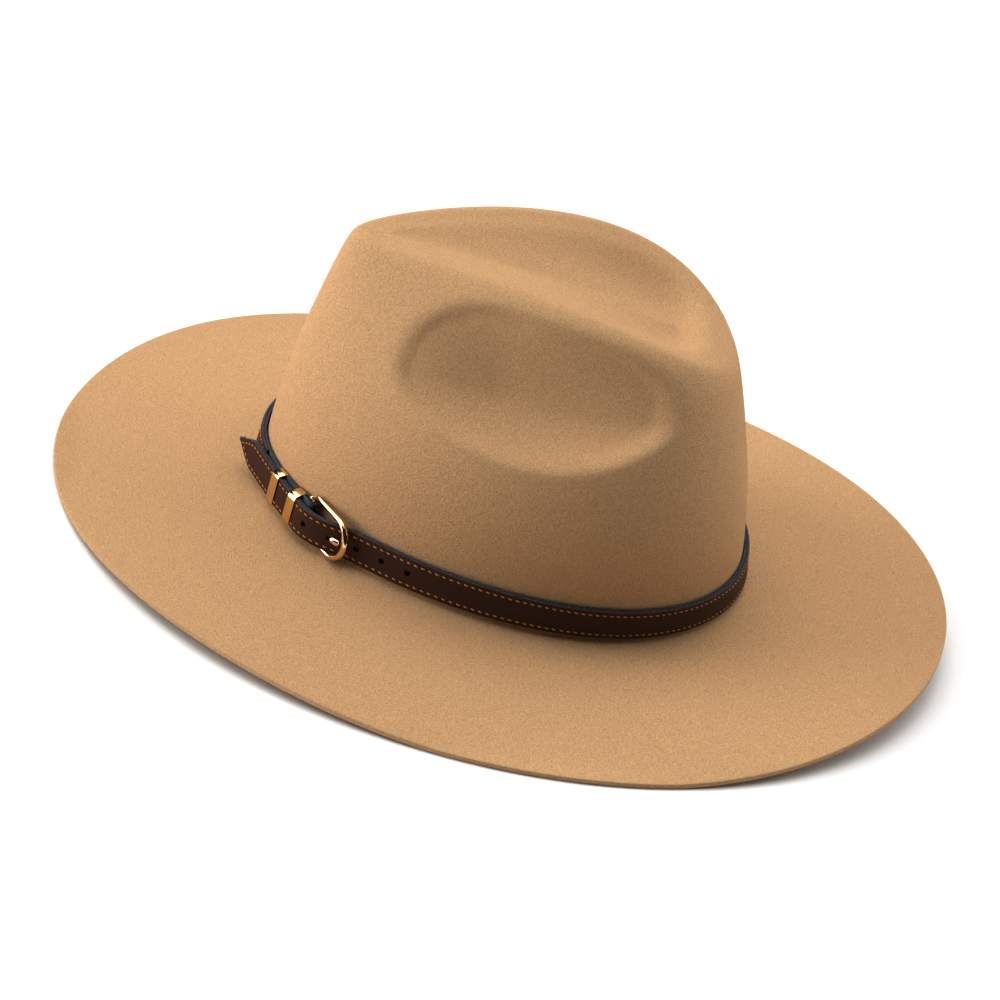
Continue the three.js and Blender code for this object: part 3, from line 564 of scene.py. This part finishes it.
def free_end(arcs, column_index):
    """A column of the free end's table, straight between its rows and rounded at them."""
    offsets = np.linspace(-TABLE_ROUNDING, TABLE_ROUNDING, TABLE_SAMPLES)
    return np.mean([np.interp(arcs + offset, FREE_END[:, 0], FREE_END[:, column_index])
                    for offset in offsets], 0)


def strap_place(distance, rise, layer):
    """Points of the sewn strap at a distance from its start, the long way round the hat to
    the buckle and straight on to the point, and so many millimetres out of its inner face."""
    arcs = FACE_STARTS_AT_ARC - distance
    seated = np.maximum(arcs, FREE_END[0, 0] - ROUND)
    low, along, outward, lean = seat(seated)
    base = low - along * column(seated - arcs), along, outward, lean
    lift, climb = (np.interp(seated, FRONT_LIFT[:, 0], part) for part in FRONT_LIFT[:, 1:].T)
    stand = free_end(seated + ROUND, 1) + layer + lift
    rise = rise + climb / STRAP_WIDTH
    return strap_point(base, stand, free_end(seated + ROUND, 2), rise)


STRAP_LENGTH = FACE_STARTS_AT_ARC + ROUND - FREE_END[0, 0] + FREE_END_BEYOND


def half_width(distance):
    """Half the strap's width as a share of it, narrowing along the curve of the point."""
    share = np.maximum((distance - STRAP_LENGTH) / POINT_LENGTH + 1, 0)
    return np.maximum(0.5 * (1 - share ** POINT_CURVE), POINT_BLUNTNESS)


def ply_profile():
    """Round the section of a ply: shares of the thickness and of the width, up the outer
    face, over the rounded edges and down the inner face."""
    # Points over the face from each edge inward, closer together under the stitches
    across = np.array([0, 0.4, 0.8, 1.1, 1.3, 1.5, 1.7, 1.9, 2.1, 2.4, 2.8, 3.6, 4.6])
    face = PLY_EDGE_ROUNDING + np.concatenate([across, STRAP_WIDTH - 2 * PLY_EDGE_ROUNDING
                                               - across[::-1]])
    turn = np.linspace(0, np.pi / 2, PLY_CORNER_STEPS + 1)[1:-1]
    corner = PLY_EDGE_ROUNDING * (1 - np.sin(turn))
    side = PLY_EDGE_ROUNDING * (1 - np.cos(turn))
    inner = np.linspace(STRAP_WIDTH - PLY_EDGE_ROUNDING, PLY_EDGE_ROUNDING, PLY_INNER_POINTS)
    depth = np.concatenate([np.full(len(face), PLY), PLY - side,
                            [PLY - PLY_EDGE_ROUNDING, PLY_EDGE_ROUNDING], side[::-1],
                            np.zeros(len(inner)), side,
                            [PLY_EDGE_ROUNDING, PLY - PLY_EDGE_ROUNDING], PLY - side[::-1]])
    width = np.concatenate([face, STRAP_WIDTH - corner, [STRAP_WIDTH, STRAP_WIDTH],
                            STRAP_WIDTH - corner[::-1], inner, corner, [0, 0], corner[::-1]])
    return depth / PLY, width / STRAP_WIDTH, len(face)


PLY_DEPTH, PLY_WIDTH, FACE_POINTS = ply_profile()


def sewn_rings(layer):
    """Rings of a sewn ply that starts so many millimetres out of the strap's inner face."""
    count = int(STRAP_LENGTH / STRAP_STEP)
    distance = column(np.linspace(0, STRAP_LENGTH, count))
    rise = 0.5 + (2 * PLY_WIDTH - 1) * half_width(distance)
    return strap_place(distance + 0 * rise, rise, layer + PLY * PLY_DEPTH)


def turned_rings():
    """Rings of the inner ply alone: from its turned-back end round the bar to its start."""
    back = seat(TURNED_BACK[:, :1])
    back = strap_point(back, TURNED_BACK[:, 1:2] + PLY * (1 - PLY_DEPTH), 1,
                       PLY_WIDTH + TURNED_BACK[:, 2:] / STRAP_WIDTH)
    turn = np.linspace(-np.pi / 2, np.pi / 2, BAR_TURN_STEPS + 1)[:, None]
    radius = BAR_RADIUS + GAP + PLY * PLY_DEPTH
    low, along, outward, lean = seat(np.full((BAR_TURN_STEPS + 1, 1), BAR_ARC))
    round_bar = low + along * column(np.cos(turn) * radius), along, outward, lean
    turned = strap_point(round_bar, BAR_STAND + np.sin(turn) * radius, 1,
                         PLY_WIDTH + BAR_RAISED / STRAP_WIDTH)
    under = UNDER_END[::-1]
    under = strap_point(seat(under[:, :1]), under[:, 1:2] + PLY * PLY_DEPTH, 1,
                        PLY_WIDTH + under[:, 2:] / STRAP_WIDTH)
    return through(np.concatenate([back, turned, under]), LINING_STEPS)


def through(points, steps):
    """A smooth curve through points: Catmull-Rom, so many steps between two."""
    padded = np.concatenate([2 * points[:1] - points[1:2], points,
                             2 * points[-1:] - points[-2:-1]])
    u = np.linspace(0, 1, steps, endpoint=False).reshape((-1,) + (1,) * (points.ndim - 1))
    before, start, finish, after = (padded[shift:len(points) - 1 + shift, None]
                                    for shift in range(4))
    cubic = 3 * (start - finish) + after - before
    square = 2 * before - 5 * start + 4 * finish - after
    curve = start + 0.5 * u * (finish - before + u * (square + u * cubic))
    return np.concatenate([curve.reshape((-1,) + points.shape[1:]), points[-1:]])


def face_outward(piece):
    """Turns every face of a closed mesh outward."""
    shape = bmesh.new()
    shape.from_mesh(piece.data)
    bmesh.ops.recalc_face_normals(shape, faces=shape.faces)
    shape.to_mesh(piece.data)
    shape.free()


def closed_strip(name, rings):
    """A closed skin over rings, with a point in the middle of the first and the last."""
    piece = closed_skin(name, rings, rings[0].mean(0), rings[-1].mean(0))
    face_outward(piece)
    return piece


def hole_axes(arc):
    """Middle of the strap's thickness at an arc of the free end, and its axes: along it,
    up its face and out of it."""
    distance = FACE_STARTS_AT_ARC + ROUND - arc
    centre = strap_place(np.array(distance), np.array(0.5), np.array(STRAP_FULL / 2))
    top = strap_place(np.array(distance), np.array(1.0), np.array(STRAP_FULL / 2))
    ahead = strap_place(np.array(distance - 0.5), np.array(0.5), np.array(STRAP_FULL / 2))
    along, up = unit(ahead - centre), unit(top - centre)
    return centre, along, up, np.cross(along, up)


def punches():
    """Round punches through both plies at every hole, as one object."""
    shape = bmesh.new()
    for index in range(HOLE_COUNT):
        centre, along, up, out = hole_axes(FIRST_HOLE_ARC + index * HOLE_PITCH)
        place = Matrix((along, up, out)).transposed().to_4x4()
        bmesh.ops.create_cone(
            shape, cap_ends=True, segments=HOLE_SIDES, radius1=HOLE_RADIUS * MM,
            radius2=HOLE_RADIUS * MM, depth=2 * STRAP_FULL * MM,
            matrix=Matrix.Translation(Vector(centre) * MM) @ place)
    mesh = bpy.data.meshes.new("punches")
    shape.to_mesh(mesh)
    shape.free()
    punch = bpy.data.objects.new("punches", mesh)
    scene.collection.objects.link(punch)
    return punch


def punch_out(piece, punch):
    """Cuts the punches out of a ply, for good."""
    cut = piece.modifiers.new("holes", "BOOLEAN")
    cut.object = punch
    cut.operation = "DIFFERENCE"
    graph = bpy.context.evaluated_depsgraph_get()
    mesh = bpy.data.meshes.new_from_object(piece.evaluated_get(graph))
    piece.modifiers.clear()
    piece.data = mesh
    mesh.shade_smooth()
    mesh.set_sharp_from_angle(angle=SHARP_FOLD)


def bridle_leather():
    """Waxed bridle leather: nearly black brown, smooth, with a soft broad shine."""
    material, tree, surface = new_material(
        "bridle_leather", Roughness=0.5, Specular_IOR_Level=0.15)
    surface.inputs["Base Color"].default_value = to_linear(LEATHER_BROWN)
    pores = add_node(tree, "ShaderNodeBump", {
        "Height": grain(tree, PORE_SIZE, 2), "Strength": 0.25, "Distance": PORE_DEPTH * MM})
    tree.links.new(pores.outputs["Normal"], surface.inputs["Normal"])
    return material


def dyed_suede():
    """The dyed flesh side and cut edges: slate blue, matt, with pale worn fibres."""
    material, tree, surface = new_material(
        "dyed_suede", Roughness=0.9, Sheen_Weight=0.15, Sheen_Roughness=0.5,
        Sheen_Tint=to_linear(SUEDE_BLOOM), Specular_IOR_Level=0.2)
    worn = add_node(tree, "ShaderNodeMapRange", {
        "Value": grain(tree, SUEDE_SPECK, 3), "From Min": 0.35, "From Max": 0.7})
    slate = add_node(tree, "ShaderNodeMix", {
        "Factor": worn.outputs["Result"], "A": to_linear(SUEDE_DARK),
        "B": to_linear(SUEDE_PALE)}, data_type="RGBA")
    tree.links.new(slate.outputs["Result"], surface.inputs["Base Color"])
    nap = add_node(tree, "ShaderNodeBump", {
        "Height": grain(tree, SUEDE_SPECK, 3), "Strength": 0.6, "Distance": SUEDE_NAP * MM})
    tree.links.new(nap.outputs["Normal"], surface.inputs["Normal"])
    return material


# Pores of about 0.15 mm and suede fibres are drawn as coarse as they need to be to show.
LEATHER_BROWN = "#4D3429"
PORE_SIZE = 0.5
PORE_DEPTH = 0.05
SUEDE_DARK = "#30353B"
SUEDE_PALE = "#676C73"
SUEDE_BLOOM = "#C4C8CE"
SUEDE_SPECK = 0.45
SUEDE_NAP = 0.2
leather, suede = bridle_leather(), dyed_suede()
punch = punches()

face = closed_strip("sewn_face", sewn_rings(PLY + GAP))
face.data.materials.append(leather)
face.data.materials.append(suede)

# All but the smooth outer face of this ply is suede: its cut edges and its inner face
columns = len(PLY_DEPTH)
around = np.arange(columns)
is_suede = (around >= FACE_POINTS + 1) & (around < columns - 2)
bands = (len(face.data.polygons) - 2 * columns) // columns
slots = np.concatenate([np.tile(is_suede, bands), np.zeros(2 * columns, bool)])
slots = slots.astype(np.int32)
face.data.polygons.foreach_set("material_index", slots)
punch_out(face, punch)
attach(face, "root")
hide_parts("strap_face")

inner_rings = np.concatenate([turned_rings()[:-1], sewn_rings(0)])
lining = closed_strip("turned_lining", inner_rings)
lining.data.materials.append(suede)
punch_out(lining, punch)
bpy.data.objects.remove(punch)
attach(lining, "root")
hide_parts("strap_backing")

# The stitching
# Waxed ochre thread, sewn by hand in a line along both edges of the strap and round its
# point: short slanting stitches that dip into the leather at both ends.
STITCH_INSET = 1.7
STITCH_PITCH = 2.9
STITCH_LENGTH = 1.75
STITCH_SLANT = 0.12
THREAD_WIDTH = 0.62
THREAD_HEIGHT = 0.42
THREAD_SIDES = 6
THREAD_SUNK = 0.05
SEWING_STARTS_AT = 2
SEWING_STEPS = 6000


def stitch_line():
    """Distance and height of the sewing line in the strap's own plane: the edge moved in by
    the inset, along the upper edge to the point and back along the lower one."""
    distance = np.linspace(SEWING_STARTS_AT, STRAP_LENGTH, SEWING_STEPS)
    edge = np.stack([distance, half_width(distance) * STRAP_WIDTH], -1)
    along = np.gradient(edge, axis=0)
    along /= column(np.hypot(along[:, 0], along[:, 1]))
    line = edge + STITCH_INSET * np.stack([along[:, 1], -along[:, 0]], -1)
    line = line[line[:, 1] > 0]
    return np.concatenate([line, line[::-1] * (1, -1)])


def thread():
    """Stitches as short tubes: rings of an oval section along each, thin at both ends and
    highest in the middle, bent over the strap's face."""
    line = stitch_line()
    steps = np.diff(line, axis=0)
    run = np.concatenate([[0], np.cumsum(np.hypot(steps[:, 0], steps[:, 1]))])
    starts = np.arange(STITCH_PITCH, run[-1], STITCH_PITCH)
    middle, ahead = (np.stack([np.interp(starts + shift, run, part) for part in line.T], -1)
                     for shift in (0, 0.1))
    along = unit(ahead - middle)[:, None, None]
    across = np.stack([-along[..., 1], along[..., 0]], -1)
    u = np.array([-1, -0.8, -0.4, 0, 0.4, 0.8, 1])[:, None]
    thin = np.sqrt(1.05 - u ** 2)
    turn = np.linspace(0, 2 * np.pi, THREAD_SIDES, endpoint=False)
    sideways = np.cos(turn) * THREAD_WIDTH / 2 * thin + STITCH_SLANT * u
    flat = middle[:, None, None] + along * column(u * STITCH_LENGTH / 2)
    flat = flat + across * column(sideways)
    height = THREAD_HEIGHT * ((0.5 + 0.5 * np.sin(turn)) * thin - 0.25 * u ** 2) - THREAD_SUNK
    points = strap_place(flat[..., 0], 0.5 + flat[..., 1] / STRAP_WIDTH,
                         STRAP_FULL + height + 0 * flat[..., 0])
    count, rings, sides = points.shape[:3]
    here = np.arange(sides)
    after = (here + 1) % sides
    ladder = np.arange(rings - 1)[:, None] * sides
    quads = np.stack([ladder + here, ladder + after, ladder + sides + after,
                      ladder + sides + here], -1).reshape(-1, 4)
    first = np.arange(count)[:, None, None] * rings * sides
    faces = (first + quads).reshape(-1, 4).tolist()
    ends = np.stack([here, (rings - 1) * sides + here])
    faces += (first + ends).reshape(-1, sides).tolist()
    mesh = bpy.data.meshes.new("thread")
    mesh.from_pydata((points.reshape(-1, 3) * MM).tolist(), [], faces)
    mesh.shade_smooth()
    piece = bpy.data.objects.new("thread", mesh)
    scene.collection.objects.link(piece)
    face_outward(piece)
    return piece


def waxed_thread():
    """Twisted waxed thread: ochre, a little shiny on top."""
    material, tree, surface = new_material("waxed_thread", Roughness=0.55)
    surface.inputs["Base Color"].default_value = to_linear(THREAD_OCHRE)
    return material


THREAD_OCHRE = "#C98A4B"
stitches = thread()
stitches.data.materials.append(waxed_thread())
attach(stitches, "root")

# The buckle
# A horseshoe of round brass rod, thicker toward its round end, soldered to its bar; each arm
# ends in a short turn outward with a ball on it. The brass prong loops round the bar, rises
# through the second hole and ends in a thick rounded tip.
FRAME_LENGTH = 21.2
FRAME_HALF_HEIGHT = 7.9
FRAME_END_ROUNDING = 1.02
FRAME_END_STAND = 6.6
ARM_RADIUS = 0.8
BOW_RADIUS = 1.35
ARM_DROP = 1.6
BALL_RADIUS = 1
BALL_OUT = 1.3

# The prong: directions from the bar's middle round it, then arc and stand of the rod, and
# the arcs between which it swells to its tip
PRONG_RADIUS = 0.65
PRONG_TIP_RADIUS = 1.45
PRONG_LEAN = 0.8
PRONG_LOOP = np.radians((60, 105, 150, 195, 240, 290))
PRONG = np.array(((62, 3), (66.5, 2.3), (68.8, 2), (70.2, 2.8), (70.4, 4), (71, 4.9),
                  (72, 5.3), (73.2, 5.4), (74.4, 5.3)))
PRONG_SWELLS = (70.4, 72.2)

WIRE_SIDES = 24
END_STEPS = 6
ARM_STEPS = 12
BOW_STEPS = 48
BAR_STEPS = 7
PATH_STEPS = 6


def tube(path, radius, side):
    """Rings of round wire along a path that lies about square to the side axis, with one
    radius or one for each point; the round ends go on by a quarter turn."""
    tangent = unit(np.gradient(path, axis=0))
    size = radius * np.ones(len(path))
    turn = np.linspace(0, np.pi / 2, END_STEPS + 1)[1:]
    first = path[0] - tangent[0] * column(size[0] * np.sin(turn[::-1]))
    last = path[-1] + tangent[-1] * column(size[-1] * np.sin(turn))
    path = np.concatenate([first, path, last])
    tangent = np.concatenate([np.tile(tangent[0], (END_STEPS, 1)), tangent,
                              np.tile(tangent[-1], (END_STEPS, 1))])
    # The outermost ring keeps a hundredth of the radius, so that it stays a ring
    small = np.cos(turn) + 0.01
    size = np.concatenate([size[0] * small[::-1], size, size[-1] * small])
    over = unit(np.cross(tangent, side))
    under = np.cross(over, tangent)
    turn = np.linspace(0, 2 * np.pi, WIRE_SIDES, endpoint=False)[:, None]
    ring = np.cos(turn) * over[:, None] + np.sin(turn) * under[:, None]
    return path[:, None] + ring * size[:, None, None]


def ball(centre, radius):
    """Rings of a ball about the vertical: a very short wire with round ends."""
    short = 0.01
    return tube(centre + np.array([[0, 0, -short], [0, 0, short]]), radius, (1, 0, 0))


def joined(name, ring_sets):
    """Closed strips joined into one piece."""
    parts = [closed_strip(name, rings) for rings in ring_sets]
    shape = bmesh.new()
    for part in parts:
        shape.from_mesh(part.data)
    shape.to_mesh(parts[0].data)
    shape.free()
    for part in parts[1:]:
        bpy.data.objects.remove(part)
    parts[0].data.shade_smooth()
    return parts[0]


def frame_axes():
    """Where the middle of the bar is, the directions along, up and out of the bow, and its
    length from the bar to the round end."""
    start = strap_point(seat(np.array(BAR_ARC)), BAR_STAND, 1, 0.5 + BAR_RAISED / STRAP_WIDTH)
    end_arc = np.array(BAR_ARC + FRAME_LENGTH)
    reach = strap_point(seat(end_arc), FRAME_END_STAND, free_end(end_arc, 2), 0.5) - start
    along = unit(reach)
    outward, lean = seat(np.array(BAR_ARC))[2:]
    up = unit(np.array((0, 0, STRAP_WIDTH)) + outward * lean)
    return start, along, up, unit(np.cross(along, up)), np.linalg.norm(reach)


def frame_point(reach, rise, out_by):
    """A point of the frame: reach is along it from the bar, rise is 1 at the upper arm."""
    start, along, up, out, length = frame_axes()
    return (start + along * column(reach) + up * column(rise * FRAME_HALF_HEIGHT)
            + out * column(out_by))


def bow():
    """One arm, the round end as half an oval, and the other arm. The arms slant from the
    felt side of the bar out to the round end and thicken toward it."""
    length = frame_axes()[-1]
    bend = FRAME_HALF_HEIGHT * FRAME_END_ROUNDING
    turn = np.linspace(0, np.pi, BOW_STEPS + 1)
    arm = np.linspace(0, length - bend, ARM_STEPS, endpoint=False)
    reach = np.concatenate([arm, length - bend + np.sin(turn) * bend, arm[::-1]])
    rise = np.concatenate([np.ones(ARM_STEPS), np.cos(turn), -np.ones(ARM_STEPS)])
    share = reach / length
    return tube(frame_point(reach, rise, -ARM_DROP * (1 - share)),
                mix(ARM_RADIUS, BOW_RADIUS, share), frame_axes()[3])


def arm_end(rise):
    """The short turn outward at the end of an arm, and its ball."""
    heights = np.linspace(-ARM_DROP, BALL_OUT, PATH_STEPS)
    path = frame_point(0 * heights, rise + 0 * heights, heights)
    return [tube(path, ARM_RADIUS, frame_axes()[2]),
            ball(frame_point(np.zeros(1), np.full(1, rise), BALL_OUT)[0], BALL_RADIUS)]


def polished_brass():
    """Polished, lacquered brass: warm gold that mirrors the studio."""
    material, tree, surface = new_material("polished_brass", Metallic=1.0, Roughness=0.14)
    surface.inputs["Base Color"].default_value = to_linear(BRASS_GOLD)
    return material


BRASS_GOLD = "#E6CDA0"
brass = polished_brass()
rises = np.linspace(1, -1, BAR_STEPS + 1)
bar = tube(frame_point(0 * rises, rises, 0 * rises), BAR_RADIUS, frame_axes()[3])
frame_piece = joined("buckle_bow", [bow(), bar, *arm_end(1), *arm_end(-1)])
frame_piece.data.materials.append(brass)
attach(frame_piece, "root")
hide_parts("buckle_frame")

low, along, outward, lean = seat(np.array(BAR_ARC))
upward = unit(np.array((0, 0, STRAP_WIDTH)) + outward * lean)
out = np.cross(along, upward)
centre = strap_point((low, along, outward, lean), BAR_STAND, 1, 0.5)
loop = centre + (BAR_RADIUS + GAP + PRONG_RADIUS) * (
    along * np.cos(PRONG_LOOP)[:, None] + out * np.sin(PRONG_LOOP)[:, None])
rod = strap_point(seat(PRONG[:, 0]), PRONG[:, 1], PRONG_LEAN, 0.5 + 0 * PRONG[:, 1])
path = through(np.concatenate([loop, rod]), PATH_STEPS)
arcs = through(np.concatenate([np.full(len(loop), BAR_ARC), PRONG[:, 0]]), PATH_STEPS)
swell = smooth_step(2 * (arcs - PRONG_SWELLS[0]) / (PRONG_SWELLS[1] - PRONG_SWELLS[0]) - 1)
prong = joined("prong", [tube(path, mix(PRONG_RADIUS, PRONG_TIP_RADIUS, swell), upward)])
prong.data.materials.append(brass)
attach(prong, "root")
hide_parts("buckle_prong")

# The keepers
# Two flat brass loops, each bent from strip about 5 mm wide with softened edges, hold the
# free end down over the strap.
KEEPER_GAUGE = 0.7
KEEPER_EDGE = 0.25
KEEPER_HIGH_SIDE = 0.3
KEEPER_BEND_POINTS = 8
KEEPER_EDGE_POINTS = 4

# Name, arc, width of the strip and radius of the bends
KEEPERS = (("keeper_front", 34.8, 5.2, 1.3), ("keeper_rear", 49.2, 4.6, 2.2))


def rounded_loop(corners, radius):
    """A closed path over corners, each rounded by a quadratic curve of the given reach."""
    before = np.roll(corners, 1, 0) - corners
    after = np.roll(corners, -1, 0) - corners
    start = corners + unit(before) * radius
    finish = corners + unit(after) * radius
    u = np.linspace(0, 1, KEEPER_BEND_POINTS)[:, None]
    bends = ((1 - u) ** 2 * start[:, None] + 2 * u * (1 - u) * corners[:, None]
             + u ** 2 * finish[:, None])
    return bends.reshape(-1, 2)


def keeper_rings(arc, width, bend):
    """The strip's section, a rectangle with softened corners, carried round the loop: down
    behind the inner ply, under both, up the face of the free end and over the top. The face
    clears the free end at KEEPER_HIGH_SIDE of the width toward the buckle."""
    low, along, outward, lean = seat(np.array(float(arc)))
    climb = np.interp(arc, UNDER_END[:, 0], UNDER_END[:, 2]) / STRAP_WIDTH
    face_stand = free_end(np.array(arc + KEEPER_HIGH_SIDE * width), 1) + STRAP_FULL + GAP
    share = free_end(np.array(float(arc)), 2)
    tall = (GAP + KEEPER_GAUGE / 2) / STRAP_WIDTH
    middle = KEEPER_GAUGE / 2
    corners = np.array([
        (middle - lean[0] * tall, -tall), (face_stand + middle - lean[0] * share * tall, -tall),
        (face_stand + middle + lean[0] * share * (1 + tall), 1 + tall),
        (middle + lean[0] * (1 + tall), 1 + tall + climb)]) * (1, STRAP_WIDTH)
    path = rounded_loop(corners, bend)
    tangent = unit(np.roll(path, -1, 0) - np.roll(path, 1, 0))
    normal = np.stack([tangent[:, 1], -tangent[:, 0]], -1)
    quarter = np.linspace(0, np.pi / 2, KEEPER_EDGE_POINTS)
    corner = KEEPER_EDGE * np.stack([np.cos(quarter), np.sin(quarter)], -1)
    signs = np.array(((1, 1), (-1, 1), (-1, -1), (1, -1)))
    section = [sign * ((width / 2 - KEEPER_EDGE, KEEPER_GAUGE / 2 - KEEPER_EDGE)
                       + (corner if sign.prod() > 0 else corner[::-1])) for sign in signs]
    section = np.concatenate(section)
    place = path[:, None] + normal[:, None] * section[None, :, 1:]
    return (low + along * section[None, :, :1] + outward * place[..., :1]
            + place[..., 1:] * np.array((0, 0, 1)))


def closed_band(name, rings):
    """A closed mesh over rings that themselves run in a loop."""
    count, sides = rings.shape[:2]
    here = np.arange(sides)
    after = (here + 1) % sides
    this = np.arange(count)[:, None] * sides
    following = np.roll(this, -1, 0)
    quads = np.stack([this + here, this + after, following + after, following + here], -1)
    mesh = bpy.data.meshes.new(name)
    mesh.from_pydata((rings.reshape(-1, 3) * MM).tolist(), [], quads.reshape(-1, 4).tolist())
    mesh.shade_smooth()
    piece = bpy.data.objects.new(name, mesh)
    scene.collection.objects.link(piece)
    face_outward(piece)
    return piece


for name, arc, width, bend in KEEPERS:
    keeper = closed_band(name + "_loop", keeper_rings(arc, width, bend))
    keeper.data.materials.append(brass)
    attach(keeper, "root")
    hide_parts(name)

# The floor and the light
# A plain pale floor, and soft wide lamps: a low key and a weaker high light from the front
# of the hat, low and middle fill from behind it, high light over its far side and a little
# from straight above. Gamma below 1 prints the picture with more contrast than the light has.
FLOOR_HALF = 15
FLOOR_WHITE = "#F4F4F4"
WORLD_WHITE = "#FFFFFF"
WORLD_STRENGTH = 0.03
PRINT_CONTRAST = 0.75
LAMP_ANGLE = math.radians(40)

# Name, azimuth from the front toward the wearer's left, elevation and strength
LAMPS = (
    ("front_low", 0, 12, 2.58), ("front", 0, 36, 0.35), ("front_high", 0, 62, 0.61),
    ("back_low", 216, 12, 1.18), ("back", 187, 36, 0.63), ("far_back_high", 240, 62, 0.8),
    ("far_front_high", 300, 62, 1.02), ("top", 0, 90, 0.5))

for name, azimuth, elevation, strength in LAMPS:
    lamp = bpy.data.lights.new(name, "SUN")
    lamp.energy = strength
    lamp.angle = LAMP_ANGLE
    light = bpy.data.objects.new(name, lamp)
    light.rotation_euler = (math.radians(90 - elevation), 0, math.radians(azimuth))
    scene.collection.objects.link(light)

world = bpy.data.worlds.new("studio")
world.use_nodes = True
background = world.node_tree.nodes["Background"]
background.inputs["Color"].default_value = to_linear(WORLD_WHITE)
background.inputs["Strength"].default_value = WORLD_STRENGTH
scene.world = world
scene.view_settings.view_transform = "Standard"
scene.view_settings.gamma = PRINT_CONTRAST

paper, tree, surface = new_material("studio_paper", Roughness=0.9)
surface.inputs["Base Color"].default_value = to_linear(FLOOR_WHITE)
floor_mesh = bpy.data.meshes.new("floor")
corners = [(-FLOOR_HALF, -FLOOR_HALF), (FLOOR_HALF, -FLOOR_HALF), (FLOOR_HALF, FLOOR_HALF),
           (-FLOOR_HALF, FLOOR_HALF)]
floor_mesh.from_pydata([(x, y, 0) for x, y in corners], [], [(0, 1, 2, 3)])
floor_mesh.materials.append(paper)
floor = bpy.data.objects.new("floor", floor_mesh)
scene.collection.objects.link(floor)
